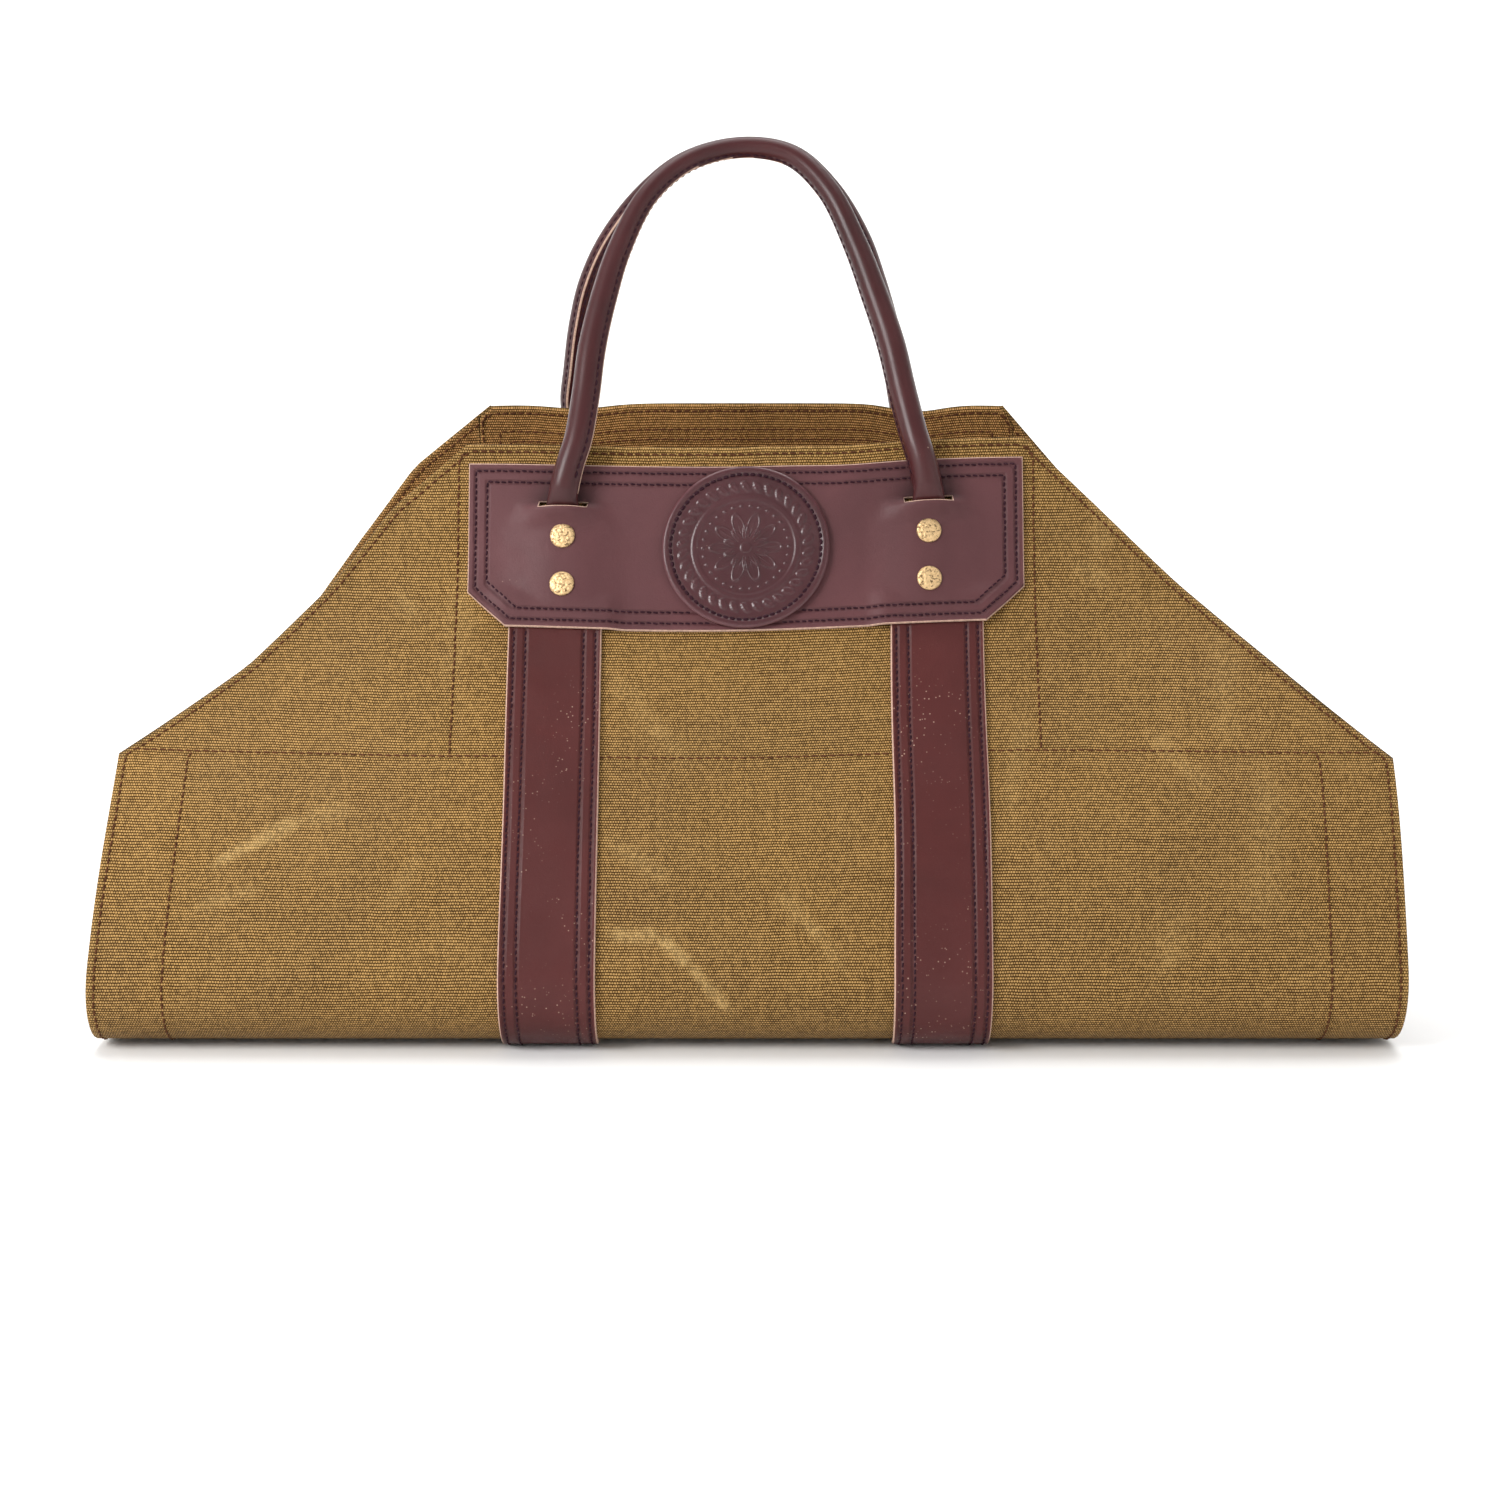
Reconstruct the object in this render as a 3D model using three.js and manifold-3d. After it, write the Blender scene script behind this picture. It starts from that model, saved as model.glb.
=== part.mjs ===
// Canvas log carrier: a long waxed canvas sling hung from two rolled leather handles.
// Millimetres, +Z up, +X to the right of the front panel, which faces -Y. Z 0 is the floor.
import * as THREE from 'three';
import Module from 'manifold-3d';

// Cloth, laid flat
const CLOTH_WIDTH = 610;
const CLOTH_LENGTH = 900;
const TOP_EDGE_WIDTH = 271;
const CORNER_CUT_HEIGHT = 160;
const CANVAS_WALL = 1.3;
const FACING_WALL = 1.1;
const SIDE_HEM_WIDTH = 37;
const HEM_SETBACK = 0.8;
const FACING_INSET = 5.5;

// How the filled shape stands
const PANEL_BOW = 10;
const FRONT_SAG = 3;
const FRONT_TILT = 2;
const BACK_RAISE = 17;
const DIP_DEPTH = 60;
const DIP_WIDTH = 20;
const DIP_DROP = 4;
const LAYER_GAP = 0.3;

// Leather straps
const STRAP_WIDTH = 45;
const STRAP_SPACING = 183;
const STRAP_WALL = 2.2;
const STRAP_LAP = 12;

// Leather handle patches
const PATCH_WIDTH = 268;
const PATCH_HEIGHT = 82;
const PATCH_DROP = 10;
const PATCH_WALL = 2.2;
const CHAMFER_WIDTH = 19;
const CHAMFER_HEIGHT = 17.5;
const SLIT_WIDTH = 23;
const SLIT_DROP = 19;
const SLIT_OPENING = 3;
const SLIT_LIP_LIFT = 9.6;
const BULGE_MARGIN = 1.6;
const BULGE_SPREAD = 12;

// Rolled handles
const HANDLE_SPACING = 176;
const HANDLE_RISE = 143;
const HANDLE_TOP_THICKNESS = 9.8;
const HANDLE_LEG_THICKNESS = 13.2;
const HANDLE_SIDES = 10;
const RINGS_PER_STATION = 2;
const TAIL_WIDTH = 21;
const TAIL_WALL = 4;
const TAIL_LENGTH = 48;
const TAIL_CLEARANCE = 0.5;
const BACK_HANDLE_DROP = 3;

// Rivets
const RIVET_HEAD_DIAMETER = 12;
const RIVET_HEAD_HEIGHT = 1.5;
const RIVET_SHANK_DIAMETER = 3.6;
const RIVET_BURR_DIAMETER = 9;
const RIVET_BURR_HEIGHT = 1;
const RIVET_PITCH = 24;
const RIVET_SETBACK = 17;
const HOLE_CLEARANCE = 0.35;
const RIVET_PLAY = 0.45;
const RIVET_SIDES = 8;
// The head's flat top and straight rim, and the burr's chamfer, as shares of their sizes.
const HEAD_TOP = 0.85;
const HEAD_RIM = 0.5;
const BURR_FACE = 0.9;

// Medallion
const MEDALLION_DIAMETER = 80;
const MEDALLION_WALL = 3;
const MEDALLION_SIDES = 30;

// Places worked out from the sizes above
const HALF_WIDTH = CLOTH_WIDTH / 2;
const HALF_LENGTH = CLOTH_LENGTH / 2;
const CANVAS_OUTER = CANVAS_WALL / 2;
const CANVAS_INNER = -CANVAS_WALL / 2;
const FACING_OUTER = CANVAS_INNER - LAYER_GAP;
const FACING_INNER = FACING_OUTER - FACING_WALL;
const LEATHER_SEAT = CANVAS_OUTER + LAYER_GAP;
const STRAP_OUTER = LEATHER_SEAT + STRAP_WALL;
const STRAP_STEP = STRAP_WALL + LAYER_GAP;
const FLOOR_TO_CLOTH = STRAP_OUTER;
const STRAP_CENTRE = STRAP_SPACING / 2;
const STRAP_INSIDE = STRAP_CENTRE - STRAP_WIDTH / 2;
const STRAP_OUTSIDE = STRAP_CENTRE + STRAP_WIDTH / 2;
const PATCH_FOOT = PATCH_DROP + PATCH_HEIGHT;
const STRAP_START = PATCH_FOOT - STRAP_LAP;
const HANDLE_X = HANDLE_SPACING / 2;
const SLIT_TOP = PATCH_DROP + SLIT_DROP;
const SLIT_FOOT = SLIT_TOP + SLIT_OPENING;
const LIP_RUN = RIVET_SETBACK - SLIT_OPENING - RIVET_HEAD_DIAMETER / 2;
const TAIL_FOOT = SLIT_TOP + TAIL_LENGTH;
const TAIL_BULGE = TAIL_WALL + TAIL_CLEARANCE;
const FACING_LINE = TOP_EDGE_WIDTH / 2 + FACING_INSET;
const HEM_LINE = HALF_WIDTH - SIDE_HEM_WIDTH;

// Side profile from the middle of the bottom to the top edge. The cloth runs along arcs that
// join in a tangent. climb is the angle to the floor, over 90 where it leans in.
const PROFILE = [
  { reach: 0.000, climb: 0 },
  { reach: 0.289, climb: 0 },
  { reach: 0.411, climb: 109 },
  { reach: 0.500, climb: 116 },
  { reach: 0.636, climb: 127 },
  { reach: 0.796, climb: 113.5 },
  { reach: 0.900, climb: 106 },
  { reach: 1.000, climb: 105.5 },
];
// The cloth turns up from the floor between these two shares of its half length, and its folds
// have their full depth from the third.
const TURN_START = PROFILE[1].reach;
const TURN_END = PROFILE[2].reach;
const FOLDS_FULL = 0.75;

// Soft folds and dents. across is a share of the half width, down and the two sizes are
// shares of the half length from the top edge, push is outward in mm.
const FOLDS = [
  { side: 'front', across: -0.63, down: 0.12, wide: 0.14, tall: 0.12, push: -7.0 },
  { side: 'front', across: -0.96, down: 0.36, wide: 0.22, tall: 0.16, push: -9.0 },
  { side: 'front', across: 0.96, down: 0.36, wide: 0.22, tall: 0.16, push: 9.0 },
  { side: 'front', across: -0.50, down: 0.28, wide: 0.10, tall: 0.16, push: 2.5 },
  { side: 'front', across: -0.82, down: 0.42, wide: 0.12, tall: 0.12, push: 2.5 },
  { side: 'front', across: 0.62, down: 0.14, wide: 0.13, tall: 0.12, push: -3.0 },
  { side: 'front', across: 0.78, down: 0.40, wide: 0.14, tall: 0.12, push: 2.5 },
  { side: 'front', across: 0.00, down: 0.40, wide: 0.12, tall: 0.12, push: -2.0 },
  { side: 'back', across: -0.67, down: 0.12, wide: 0.12, tall: 0.11, push: 6.0 },
  { side: 'back', across: 0.66, down: 0.14, wide: 0.12, tall: 0.12, push: -4.0 },
  { side: 'back', across: 0.30, down: 0.42, wide: 0.16, tall: 0.12, push: 2.5 },
  { side: 'back', across: -0.75, down: 0.42, wide: 0.14, tall: 0.12, push: -2.5 },
];

// How far the cut edges stand in from the straight lines of the flat pattern, in mm, down the
// panel as a share of the corner cut's height.
const CUT_EDGE = [
  { down: 0.00, front_left: 0, front_right: 0, back_left: 0, back_right: 0 },
  { down: 0.20, front_left: -3, front_right: 1, back_left: -8, back_right: 5 },
  { down: 0.45, front_left: 9, front_right: 3, back_left: 2, back_right: 9 },
  { down: 0.70, front_left: 14, front_right: 1, back_left: 14, back_right: 10 },
  { down: 1.00, front_left: 6, front_right: 0, back_left: 9, back_right: 8 },
];

// Dips of a panel's top edge beside the handles. across is a share of HANDLE_X, wide of
// DIP_WIDTH and drop of DIP_DROP.
const EDGE_DIPS = [
  { side: 'back', across: -1.00, wide: 1.00, drop: 0.625 },
  { side: 'back', across: 1.02, wide: 0.90, drop: 1.000 },
  { side: 'front', across: 0.55, wide: 1.10, drop: 0.250 },
];

// Handle path above the top edge. rise is a share of the way up, spread and sway (how far
// the arch leans over sideways) are shares of HANDLE_X, and lean is the share of the way from
// the panel to the middle of the mouth.
const HANDLE_PATH = [
  { rise: 0.00, lean: 0.00, front_spread: 0.924, front_sway: 0.000, back_spread: 0.995, back_sway: -0.055 },
  { rise: 0.14, lean: 0.15, front_spread: 0.877, front_sway: -0.010, back_spread: 0.960, back_sway: -0.062 },
  { rise: 0.31, lean: 0.32, front_spread: 0.829, front_sway: -0.025, back_spread: 0.908, back_sway: -0.073 },
  { rise: 0.48, lean: 0.49, front_spread: 0.753, front_sway: -0.040, back_spread: 0.835, back_sway: -0.080 },
  { rise: 0.65, lean: 0.66, front_spread: 0.658, front_sway: -0.048, back_spread: 0.725, back_sway: -0.068 },
  { rise: 0.83, lean: 0.83, front_spread: 0.508, front_sway: -0.045, back_spread: 0.530, back_sway: -0.047 },
  { rise: 0.95, lean: 0.95, front_spread: 0.292, front_sway: -0.033, back_spread: 0.300, back_sway: -0.033 },
  { rise: 1.00, lean: 1.00, front_spread: 0.000, front_sway: -0.015, back_spread: 0.000, back_sway: -0.015 },
];

// Handle sections from the end of the tail to the top edge. down is a share of TAIL_FOOT, wide
// is a share of TAIL_WIDTH and thick of HANDLE_LEG_THICKNESS, or of TAIL_WALL where flat is
// true. lift is how far it stands off the canvas, as a share of the patch's wall and clearance.
// swing is the share of the way sideways from the slit to the foot of the leg.
const TAIL_SECTIONS = [
  { down: 1.000, flat: true, wide: 0.94, thick: 1.00, lift: 0, swing: 0.0 },
  { down: 0.850, flat: true, wide: 1.00, thick: 1.00, lift: 0, swing: 0.0 },
  { down: 0.700, flat: true, wide: 1.00, thick: 1.00, lift: 0, swing: 0.0 },
  { down: 0.560, flat: true, wide: 1.00, thick: 1.00, lift: 0, swing: 0.0 },
  { down: 0.465, flat: false, wide: 0.99, thick: 0.35, lift: 0.06, swing: 0.0 },
  { down: 0.385, flat: false, wide: 0.97, thick: 0.49, lift: 1.00, swing: 0.0 },
  { down: 0.285, flat: false, wide: 0.78, thick: 0.74, lift: 1.08, swing: 0.2 },
  { down: 0.140, flat: false, wide: 0.66, thick: 0.96, lift: 1.16, swing: 0.6 },
];

// The legs grow slimmer from this share of the handle's rise.
const SLIM_START = 0.3;

// Medallion heights over its seat, from the middle out, as shares of its radius and wall.
const MEDALLION_RINGS = [
  { radius: 0.30, height: 0.86 },
  { radius: 0.58, height: 0.86 },
  { radius: 0.63, height: 1.00 },
  { radius: 0.69, height: 0.86 },
  { radius: 0.88, height: 0.84 },
  { radius: 0.94, height: 1.06 },
  { radius: 1.00, height: 0.80 },
];

const wasm = await Module();
wasm.setup();

const canvas = { color: 0x8a6a35, roughness: 0.85, metalness: 0 };
const facing = { color: 0x7d5c2c, roughness: 0.88, metalness: 0 };
const strapLeather = { color: 0x4f2a2a, roughness: 0.5, metalness: 0 };
const patchLeather = { color: 0x5d3838, roughness: 0.5, metalness: 0 };
const handleLeather = { color: 0x43201f, roughness: 0.42, metalness: 0 };
const brass = { color: 0xb98f4a, roughness: 0.35, metalness: 1 };

const carrier = new THREE.Group();

function addPiece(name, geometry, look) {
  const mesh = new THREE.Mesh(geometry, new THREE.MeshStandardMaterial(look));
  mesh.name = name;
  carrier.add(mesh);
}

function smooth(low, high, value) {
  return THREE.MathUtils.smoothstep(value, low, high);
}

// Value of a table's column at a share, by straight lines between its rows.
function tableValue(rows, key, column, value) {
  const last = rows[rows.length - 1];
  if (value >= last[key]) return last[column];
  const next = Math.max(1, rows.findIndex((row) => row[key] > value));
  const from = rows[next - 1];
  const to = rows[next];
  const share = Math.max(0, (value - from[key]) / (to[key] - from[key]));
  return THREE.MathUtils.lerp(from[column], to[column], share);
}

// Point and climb of the side profile at a distance from the middle of the bottom.
function profilePoint(reach) {
  let out = 0;
  let up = FLOOR_TO_CLOTH;
  let climb = 0;
  for (let row = 1; row < PROFILE.length; row += 1) {
    const start = PROFILE[row - 1].reach * HALF_LENGTH;
    const end = PROFILE[row].reach * HALF_LENGTH;
    const angle = THREE.MathUtils.degToRad(PROFILE[row - 1].climb);
    const turn = THREE.MathUtils.degToRad(PROFILE[row].climb) - angle;
    const bend = turn / (end - start);
    const isLast = row === PROFILE.length - 1;
    const run = (isLast ? reach : Math.min(reach, end)) - start;
    if (run <= 0) break;
    climb = angle + bend * run;
    if (turn === 0) {
      out += run * Math.cos(angle);
      up += run * Math.sin(angle);
    } else {
      out += (Math.sin(climb) - Math.sin(angle)) / bend;
      up += (Math.cos(angle) - Math.cos(climb)) / bend;
    }
  }
  return { out, up, climb };
}

function foldPush(side, across, down) {
  let push = 0;
  for (const fold of FOLDS) {
    if (fold.side !== side) continue;
    const offX = (across - fold.across * HALF_WIDTH) / (fold.wide * HALF_LENGTH);
    const offDown = (down - fold.down * HALF_LENGTH) / (fold.tall * HALF_LENGTH);
    push += fold.push * Math.exp(-offX * offX - offDown * offDown);
  }
  return push;
}

function edgeDip(side, across, down) {
  let drop = 0;
  for (const dip of EDGE_DIPS) {
    const off = (across - dip.across * HANDLE_X) / (dip.wide * DIP_WIDTH);
    if (dip.side === side) drop += dip.drop * DIP_DROP * Math.exp(-off * off);
  }
  return drop * (1 - smooth(0, DIP_DEPTH, down));
}

// How far the filled shape slides the cloth up along its side profile.
function clothLift(side, across, down) {
  const share = Math.abs(across) / HALF_WIDTH;
  const betweenHandles = 1 - smooth(0, TOP_EDGE_WIDTH / CLOTH_WIDTH, share);
  const tilt = (FRONT_TILT * across) / HANDLE_X;
  const front = tilt * (1 - share) - FRONT_SAG * betweenHandles;
  const back = BACK_RAISE * (1 - share ** 3);
  return (side === 'front' ? front : back) - edgeDip(side, across, down);
}

// Middle of the cloth. across runs along X, along runs from the front top edge through 0 at
// the middle of the bottom to the back top edge.
function clothPoint(across, along) {
  const side = along < 0 ? 'front' : 'back';
  const reach = Math.abs(along);
  const profile = profilePoint(reach);
  const down = HALF_LENGTH - reach;
  const panel = smooth(TURN_START, FOLDS_FULL, reach / HALF_LENGTH);
  const bow = PANEL_BOW * (1 - (across / HALF_WIDTH) ** 2);
  const lift = clothLift(side, across, down);
  const push = bow + foldPush(side, across, down);
  const out = profile.out + (push + lift * Math.cos(profile.climb)) * panel;
  const up = profile.up + lift * Math.sin(profile.climb) * panel;
  return new THREE.Vector3(across, side === 'front' ? -out : out, up);
}

const NORMAL_STEP = 0.5;

// Outward direction of the cloth, away from the hollow.
function clothNormal(across, along) {
  const step = NORMAL_STEP;
  const overX = clothPoint(across + step, along).sub(clothPoint(across - step, along));
  const overAlong = clothPoint(across, along + step).sub(clothPoint(across, along - step));
  return overAlong.cross(overX).normalize();
}

function placeOnCloth(across, along, offset) {
  return clothPoint(across, along).addScaledVector(clothNormal(across, along), offset);
}

// Signed distance along the cloth of a line that lies down below a panel's top edge.
function alongPanel(side, down) {
  const reach = HALF_LENGTH - down;
  return side === 'front' ? -reach : reach;
}

// The inset of a cut edge is gone at this many heights of the corner cut.
const CUT_FADE_END = 2;

// Half width of the cloth at one of its four cut corners or side edges.
function clothEdge(hand, along) {
  const down = HALF_LENGTH - Math.abs(along);
  const cut = down / CORNER_CUT_HEIGHT;
  const straight = THREE.MathUtils.lerp(TOP_EDGE_WIDTH / 2, HALF_WIDTH, Math.min(1, cut));
  const corner = `${along < 0 ? 'front' : 'back'}_${hand < 0 ? 'left' : 'right'}`;
  const fade = 1 - smooth(1, CUT_FADE_END, cut);
  return straight - tableValue(CUT_EDGE, 'down', corner, Math.min(1, cut)) * fade;
}

// Closed sheet on a grid. points(i, j) gives the outer and the inner point of a grid corner,
// keep(i, j) is false for a cell that is open.
function sheetSolid(columns, rows, points, keep = () => true) {
  const positions = [];
  const index = [];
  const slots = new Map();
  const slot = (i, j, face) => {
    const key = `${i}_${j}_${face}`;
    if (!slots.has(key)) {
      slots.set(key, positions.length / 3);
      const point = points(i, j)[face];
      positions.push(point.x, point.y, point.z);
    }
    return slots.get(key);
  };
  const isOpen = (i, j) => i < 0 || j < 0 || i >= columns || j >= rows || !keep(i, j);
  for (let i = 0; i < columns; i += 1) {
    for (let j = 0; j < rows; j += 1) {
      if (!isOpen(i, j)) addCell(i, j, slot, index, isOpen);
    }
  }
  const geometry = new THREE.BufferGeometry();
  geometry.setAttribute('position', new THREE.Float32BufferAttribute(positions, 3));
  geometry.setIndex(index);
  return geometry;
}

// Both faces of one grid cell, and a wall on each of its sides that has no neighbour.
function addCell(i, j, slot, index, isOpen) {
  const corners = [[i, j], [i, j + 1], [i + 1, j + 1], [i + 1, j]];
  const neighbours = [[i - 1, j], [i, j + 1], [i + 1, j], [i, j - 1]];
  const outer = corners.map(([a, b]) => slot(a, b, 'outer'));
  const inner = corners.map(([a, b]) => slot(a, b, 'inner'));
  index.push(outer[0], outer[1], outer[2], outer[0], outer[2], outer[3]);
  index.push(inner[0], inner[2], inner[1], inner[0], inner[3], inner[2]);
  neighbours.forEach(([a, b], edge) => {
    if (!isOpen(a, b)) return;
    const next = (edge + 1) % 4;
    index.push(outer[next], outer[edge], inner[edge], outer[next], inner[edge], inner[next]);
  });
}

// Sheet that follows the cloth. columnsAt(along) lists its X lines in every row.
function clothSheet(rows, columnsAt, outerOffset, innerOffset, keep) {
  const lines = rows.map(columnsAt);
  const points = (i, j) => {
    const across = lines[j][i];
    const along = rows[j];
    return {
      outer: placeOnCloth(across, along, outerOffset(across, along)),
      inner: placeOnCloth(across, along, innerOffset(across, along)),
    };
  };
  const isKept = (i, j) => !keep || keep(lines[j][i], lines[j][i + 1], rows[j], rows[j + 1]);
  return sheetSolid(lines[0].length - 1, rows.length - 1, points, isKept);
}

function steps(from, to, count) {
  return Array.from({ length: count + 1 }, (_, k) => from + ((to - from) * k) / count);
}

// Rows of the cloth from a panel's top edge down to the turn and round it to the bottom.
const CUT_ROWS = 8;
const LOWER_ROWS = 3;
const TURN_ROWS = 6;
const FLOOR_ROWS = 1;
const LEAST_ROW = 1;

function halfRows(fromDown) {
  const turnTop = HALF_LENGTH * (1 - TURN_END);
  const turnFoot = HALF_LENGTH * (1 - TURN_START);
  const all = [
    ...steps(0, CORNER_CUT_HEIGHT, CUT_ROWS),
    ...steps(CORNER_CUT_HEIGHT, turnTop, LOWER_ROWS).slice(1),
    ...steps(turnTop, turnFoot, TURN_ROWS).slice(1),
    ...steps(turnFoot, HALF_LENGTH, FLOOR_ROWS).slice(1),
  ];
  return [fromDown, ...all.filter((down) => down > fromDown + LEAST_ROW)];
}

// Rows from a line on the front panel, under the bottom, to the same line on the back panel.
function wholeRows(fromDown) {
  const front = halfRows(fromDown).map((down) => alongPanel('front', down));
  const back = front.slice(0, -1).reverse().map((along) => -along);
  return [...front, ...back];
}

function panelRows(side, fromDown, toDown) {
  const downs = [...halfRows(fromDown).filter((down) => down < toDown - LEAST_ROW), toDown];
  const rows = downs.map((down) => alongPanel(side, down));
  return side === 'front' ? rows : rows.reverse();
}

// Lines of the cloth beyond the facing line, as shares of the way to the edge.
const HEM_SHARE = (HEM_LINE - FACING_LINE) / (HALF_WIDTH - FACING_LINE);
const OUTER_SHARES = [0, HEM_SHARE / 3, (HEM_SHARE * 2) / 3, HEM_SHARE, 1];
const HEM_COLUMN = OUTER_SHARES.indexOf(HEM_SHARE);
const INNER_LINES = [STRAP_INSIDE / 2, STRAP_INSIDE, STRAP_OUTSIDE];

// The facing line stays inside the slanted edge at the top corners.
const CORNER_SETBACK = 3 * HEM_SETBACK;

function facingLine(hand, along) {
  return Math.min(FACING_LINE, clothEdge(hand, along) - CORNER_SETBACK);
}

function outerLines(hand, along, from, setback) {
  const edge = clothEdge(hand, along) - setback;
  const start = facingLine(hand, along);
  return OUTER_SHARES.slice(from).map((share) => THREE.MathUtils.lerp(start, edge, share));
}

function mirrored(lines) {
  return lines.map((line) => -line).reverse();
}

function canvasLines(along) {
  const left = [...INNER_LINES, ...outerLines(-1, along, 0, 0)];
  const right = [...INNER_LINES, ...outerLines(1, along, 0, 0)];
  return [...mirrored(left), 0, ...right];
}

function topFacingLines(along) {
  const left = [...INNER_LINES, facingLine(-1, along)];
  const right = [...INNER_LINES, facingLine(1, along)];
  return [...mirrored(left), 0, ...right];
}

function cornerFacingLines(hand) {
  return (along) => {
    const lines = outerLines(hand, along, 0, HEM_SETBACK);
    lines[0] += LAYER_GAP;
    return hand < 0 ? mirrored(lines) : lines;
  };
}

function sideHemLines(hand) {
  return (along) => {
    const lines = outerLines(hand, along, HEM_COLUMN, HEM_SETBACK);
    return hand < 0 ? mirrored(lines) : lines;
  };
}

const fixed = (value) => () => value;

// Leather patch: how far its inner face stands off the canvas over straps and tails.
function patchSeat(across, along) {
  const down = HALF_LENGTH - Math.abs(along);
  const offStrap = Math.abs(Math.abs(across) - STRAP_CENTRE) - STRAP_WIDTH / 2;
  const overStrap = 1 - smooth(BULGE_MARGIN, BULGE_SPREAD, offStrap);
  const strapRise = smooth(STRAP_START - BULGE_SPREAD, STRAP_START - LAYER_GAP, down);
  const offTail = Math.abs(Math.abs(across) - HANDLE_X) - TAIL_WIDTH / 2;
  const overTail = 1 - smooth(BULGE_MARGIN, BULGE_SPREAD, offTail);
  const lip = 1 - smooth(SLIT_FOOT, SLIT_FOOT + LIP_RUN, down);
  const bulge = TAIL_BULGE + (SLIT_LIP_LIFT - TAIL_BULGE) * lip;
  const underSlit = smooth(SLIT_TOP, SLIT_FOOT, down);
  const overEnd = 1 - smooth(TAIL_FOOT + LAYER_GAP, PATCH_FOOT, down);
  const tailLift = bulge * overTail * underSlit * overEnd;
  return LEATHER_SEAT + Math.max(STRAP_STEP * overStrap * strapRise, tailLift);
}

function patchHalfWidth(down) {
  const chamferStart = PATCH_FOOT - CHAMFER_HEIGHT;
  const cut = Math.max(0, down - chamferStart) / CHAMFER_HEIGHT;
  return PATCH_WIDTH / 2 - CHAMFER_WIDTH * cut;
}

function patchLines(along) {
  const down = HALF_LENGTH - Math.abs(along);
  const edge = patchHalfWidth(down);
  const medallionEdge = MEDALLION_DIAMETER / 2 + 1;
  const slitInside = HANDLE_X - SLIT_WIDTH / 2;
  const slitOutside = HANDLE_X + SLIT_WIDTH / 2;
  const bulgeEdge = Math.min(STRAP_INSIDE, slitInside - BULGE_SPREAD / 2) - BULGE_MARGIN;
  const strapEdge = Math.min(STRAP_OUTSIDE + BULGE_MARGIN / 2, edge - LAYER_GAP);
  const lines = [
    medallionEdge, (medallionEdge + bulgeEdge) / 2, bulgeEdge, slitInside,
    HANDLE_X, slitOutside, (slitOutside + strapEdge) / 2, strapEdge, edge,
  ];
  return [...mirrored(lines), 0, ...lines];
}

function patchRows(side) {
  const lipEnd = SLIT_FOOT + LIP_RUN;
  const chamferStart = PATCH_FOOT - CHAMFER_HEIGHT;
  const downs = [
    PATCH_DROP, (PATCH_DROP + SLIT_TOP) / 2, SLIT_TOP, SLIT_FOOT,
    SLIT_FOOT + LIP_RUN / 3, SLIT_FOOT + (LIP_RUN * 2) / 3, lipEnd,
    (lipEnd + chamferStart) / 2, chamferStart, STRAP_START - LAYER_GAP,
    (STRAP_START + PATCH_FOOT) / 2, PATCH_FOOT,
  ];
  const rows = downs.map((down) => alongPanel(side, down));
  return side === 'front' ? rows : rows.reverse();
}

function isOutsideSlit(fromX, toX, fromAlong, toAlong) {
  const down = HALF_LENGTH - Math.abs((fromAlong + toAlong) / 2);
  const offCentre = Math.abs(Math.abs((fromX + toX) / 2) - HANDLE_X);
  return down < SLIT_TOP || down > SLIT_FOOT || offCentre > SLIT_WIDTH / 2;
}

function patchSolid(side) {
  const outer = (across, along) => patchSeat(across, along) + PATCH_WALL;
  return clothSheet(patchRows(side), patchLines, outer, patchSeat, isOutsideSlit);
}

// Rings of points joined into a closed body with a flat cap at each end.
function ringSolid(rings) {
  const sides = rings[0].length;
  const positions = rings.flat().flatMap((point) => [point.x, point.y, point.z]);
  const index = [];
  for (let ring = 0; ring < rings.length - 1; ring += 1) {
    for (let k = 0; k < sides; k += 1) {
      const a = ring * sides + k;
      const b = ring * sides + ((k + 1) % sides);
      index.push(a, b, b + sides, a, b + sides, a + sides);
    }
  }
  const top = (rings.length - 1) * sides;
  for (let k = 1; k < sides - 1; k += 1) {
    index.push(0, k + 1, k, top, top + k, top + k + 1);
  }
  const geometry = new THREE.BufferGeometry();
  geometry.setAttribute('position', new THREE.Float32BufferAttribute(positions, 3));
  geometry.setIndex(index);
  return geometry;
}

function legX(side, hand, row) {
  return HANDLE_X * (hand * row[`${side}_spread`] + row[`${side}_sway`]);
}

// Sections of one handle leg from the end of the tail to the top edge of the canvas.
function tailStations(side, hand) {
  const footX = legX(side, hand, HANDLE_PATH[0]);
  return TAIL_SECTIONS.map((row) => {
    const down = row.down * TAIL_FOOT;
    const thick = (row.flat ? TAIL_WALL : HANDLE_LEG_THICKNESS) * row.thick;
    const seat = LEATHER_SEAT + row.lift * (PATCH_WALL + TAIL_CLEARANCE);
    const along = alongPanel(side, down);
    const across = THREE.MathUtils.lerp(hand * HANDLE_X, footX, row.swing);
    return {
      point: placeOnCloth(across, along, seat + thick / 2),
      normal: clothNormal(across, along),
      wide: (TAIL_WIDTH * row.wide) / 2,
      thick: thick / 2,
    };
  });
}

function handleThickness(rise) {
  const slim = smooth(SLIM_START, 1, rise);
  return THREE.MathUtils.lerp(HANDLE_LEG_THICKNESS, HANDLE_TOP_THICKNESS, slim);
}

// Middle of a handle leg where it crosses the top edge of its panel.
function legStart(side, hand) {
  const stand = LEATHER_SEAT + PATCH_WALL + LAYER_GAP + HANDLE_LEG_THICKNESS / 2;
  return placeOnCloth(hand * HANDLE_X, alongPanel(side, 0), stand);
}

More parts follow.
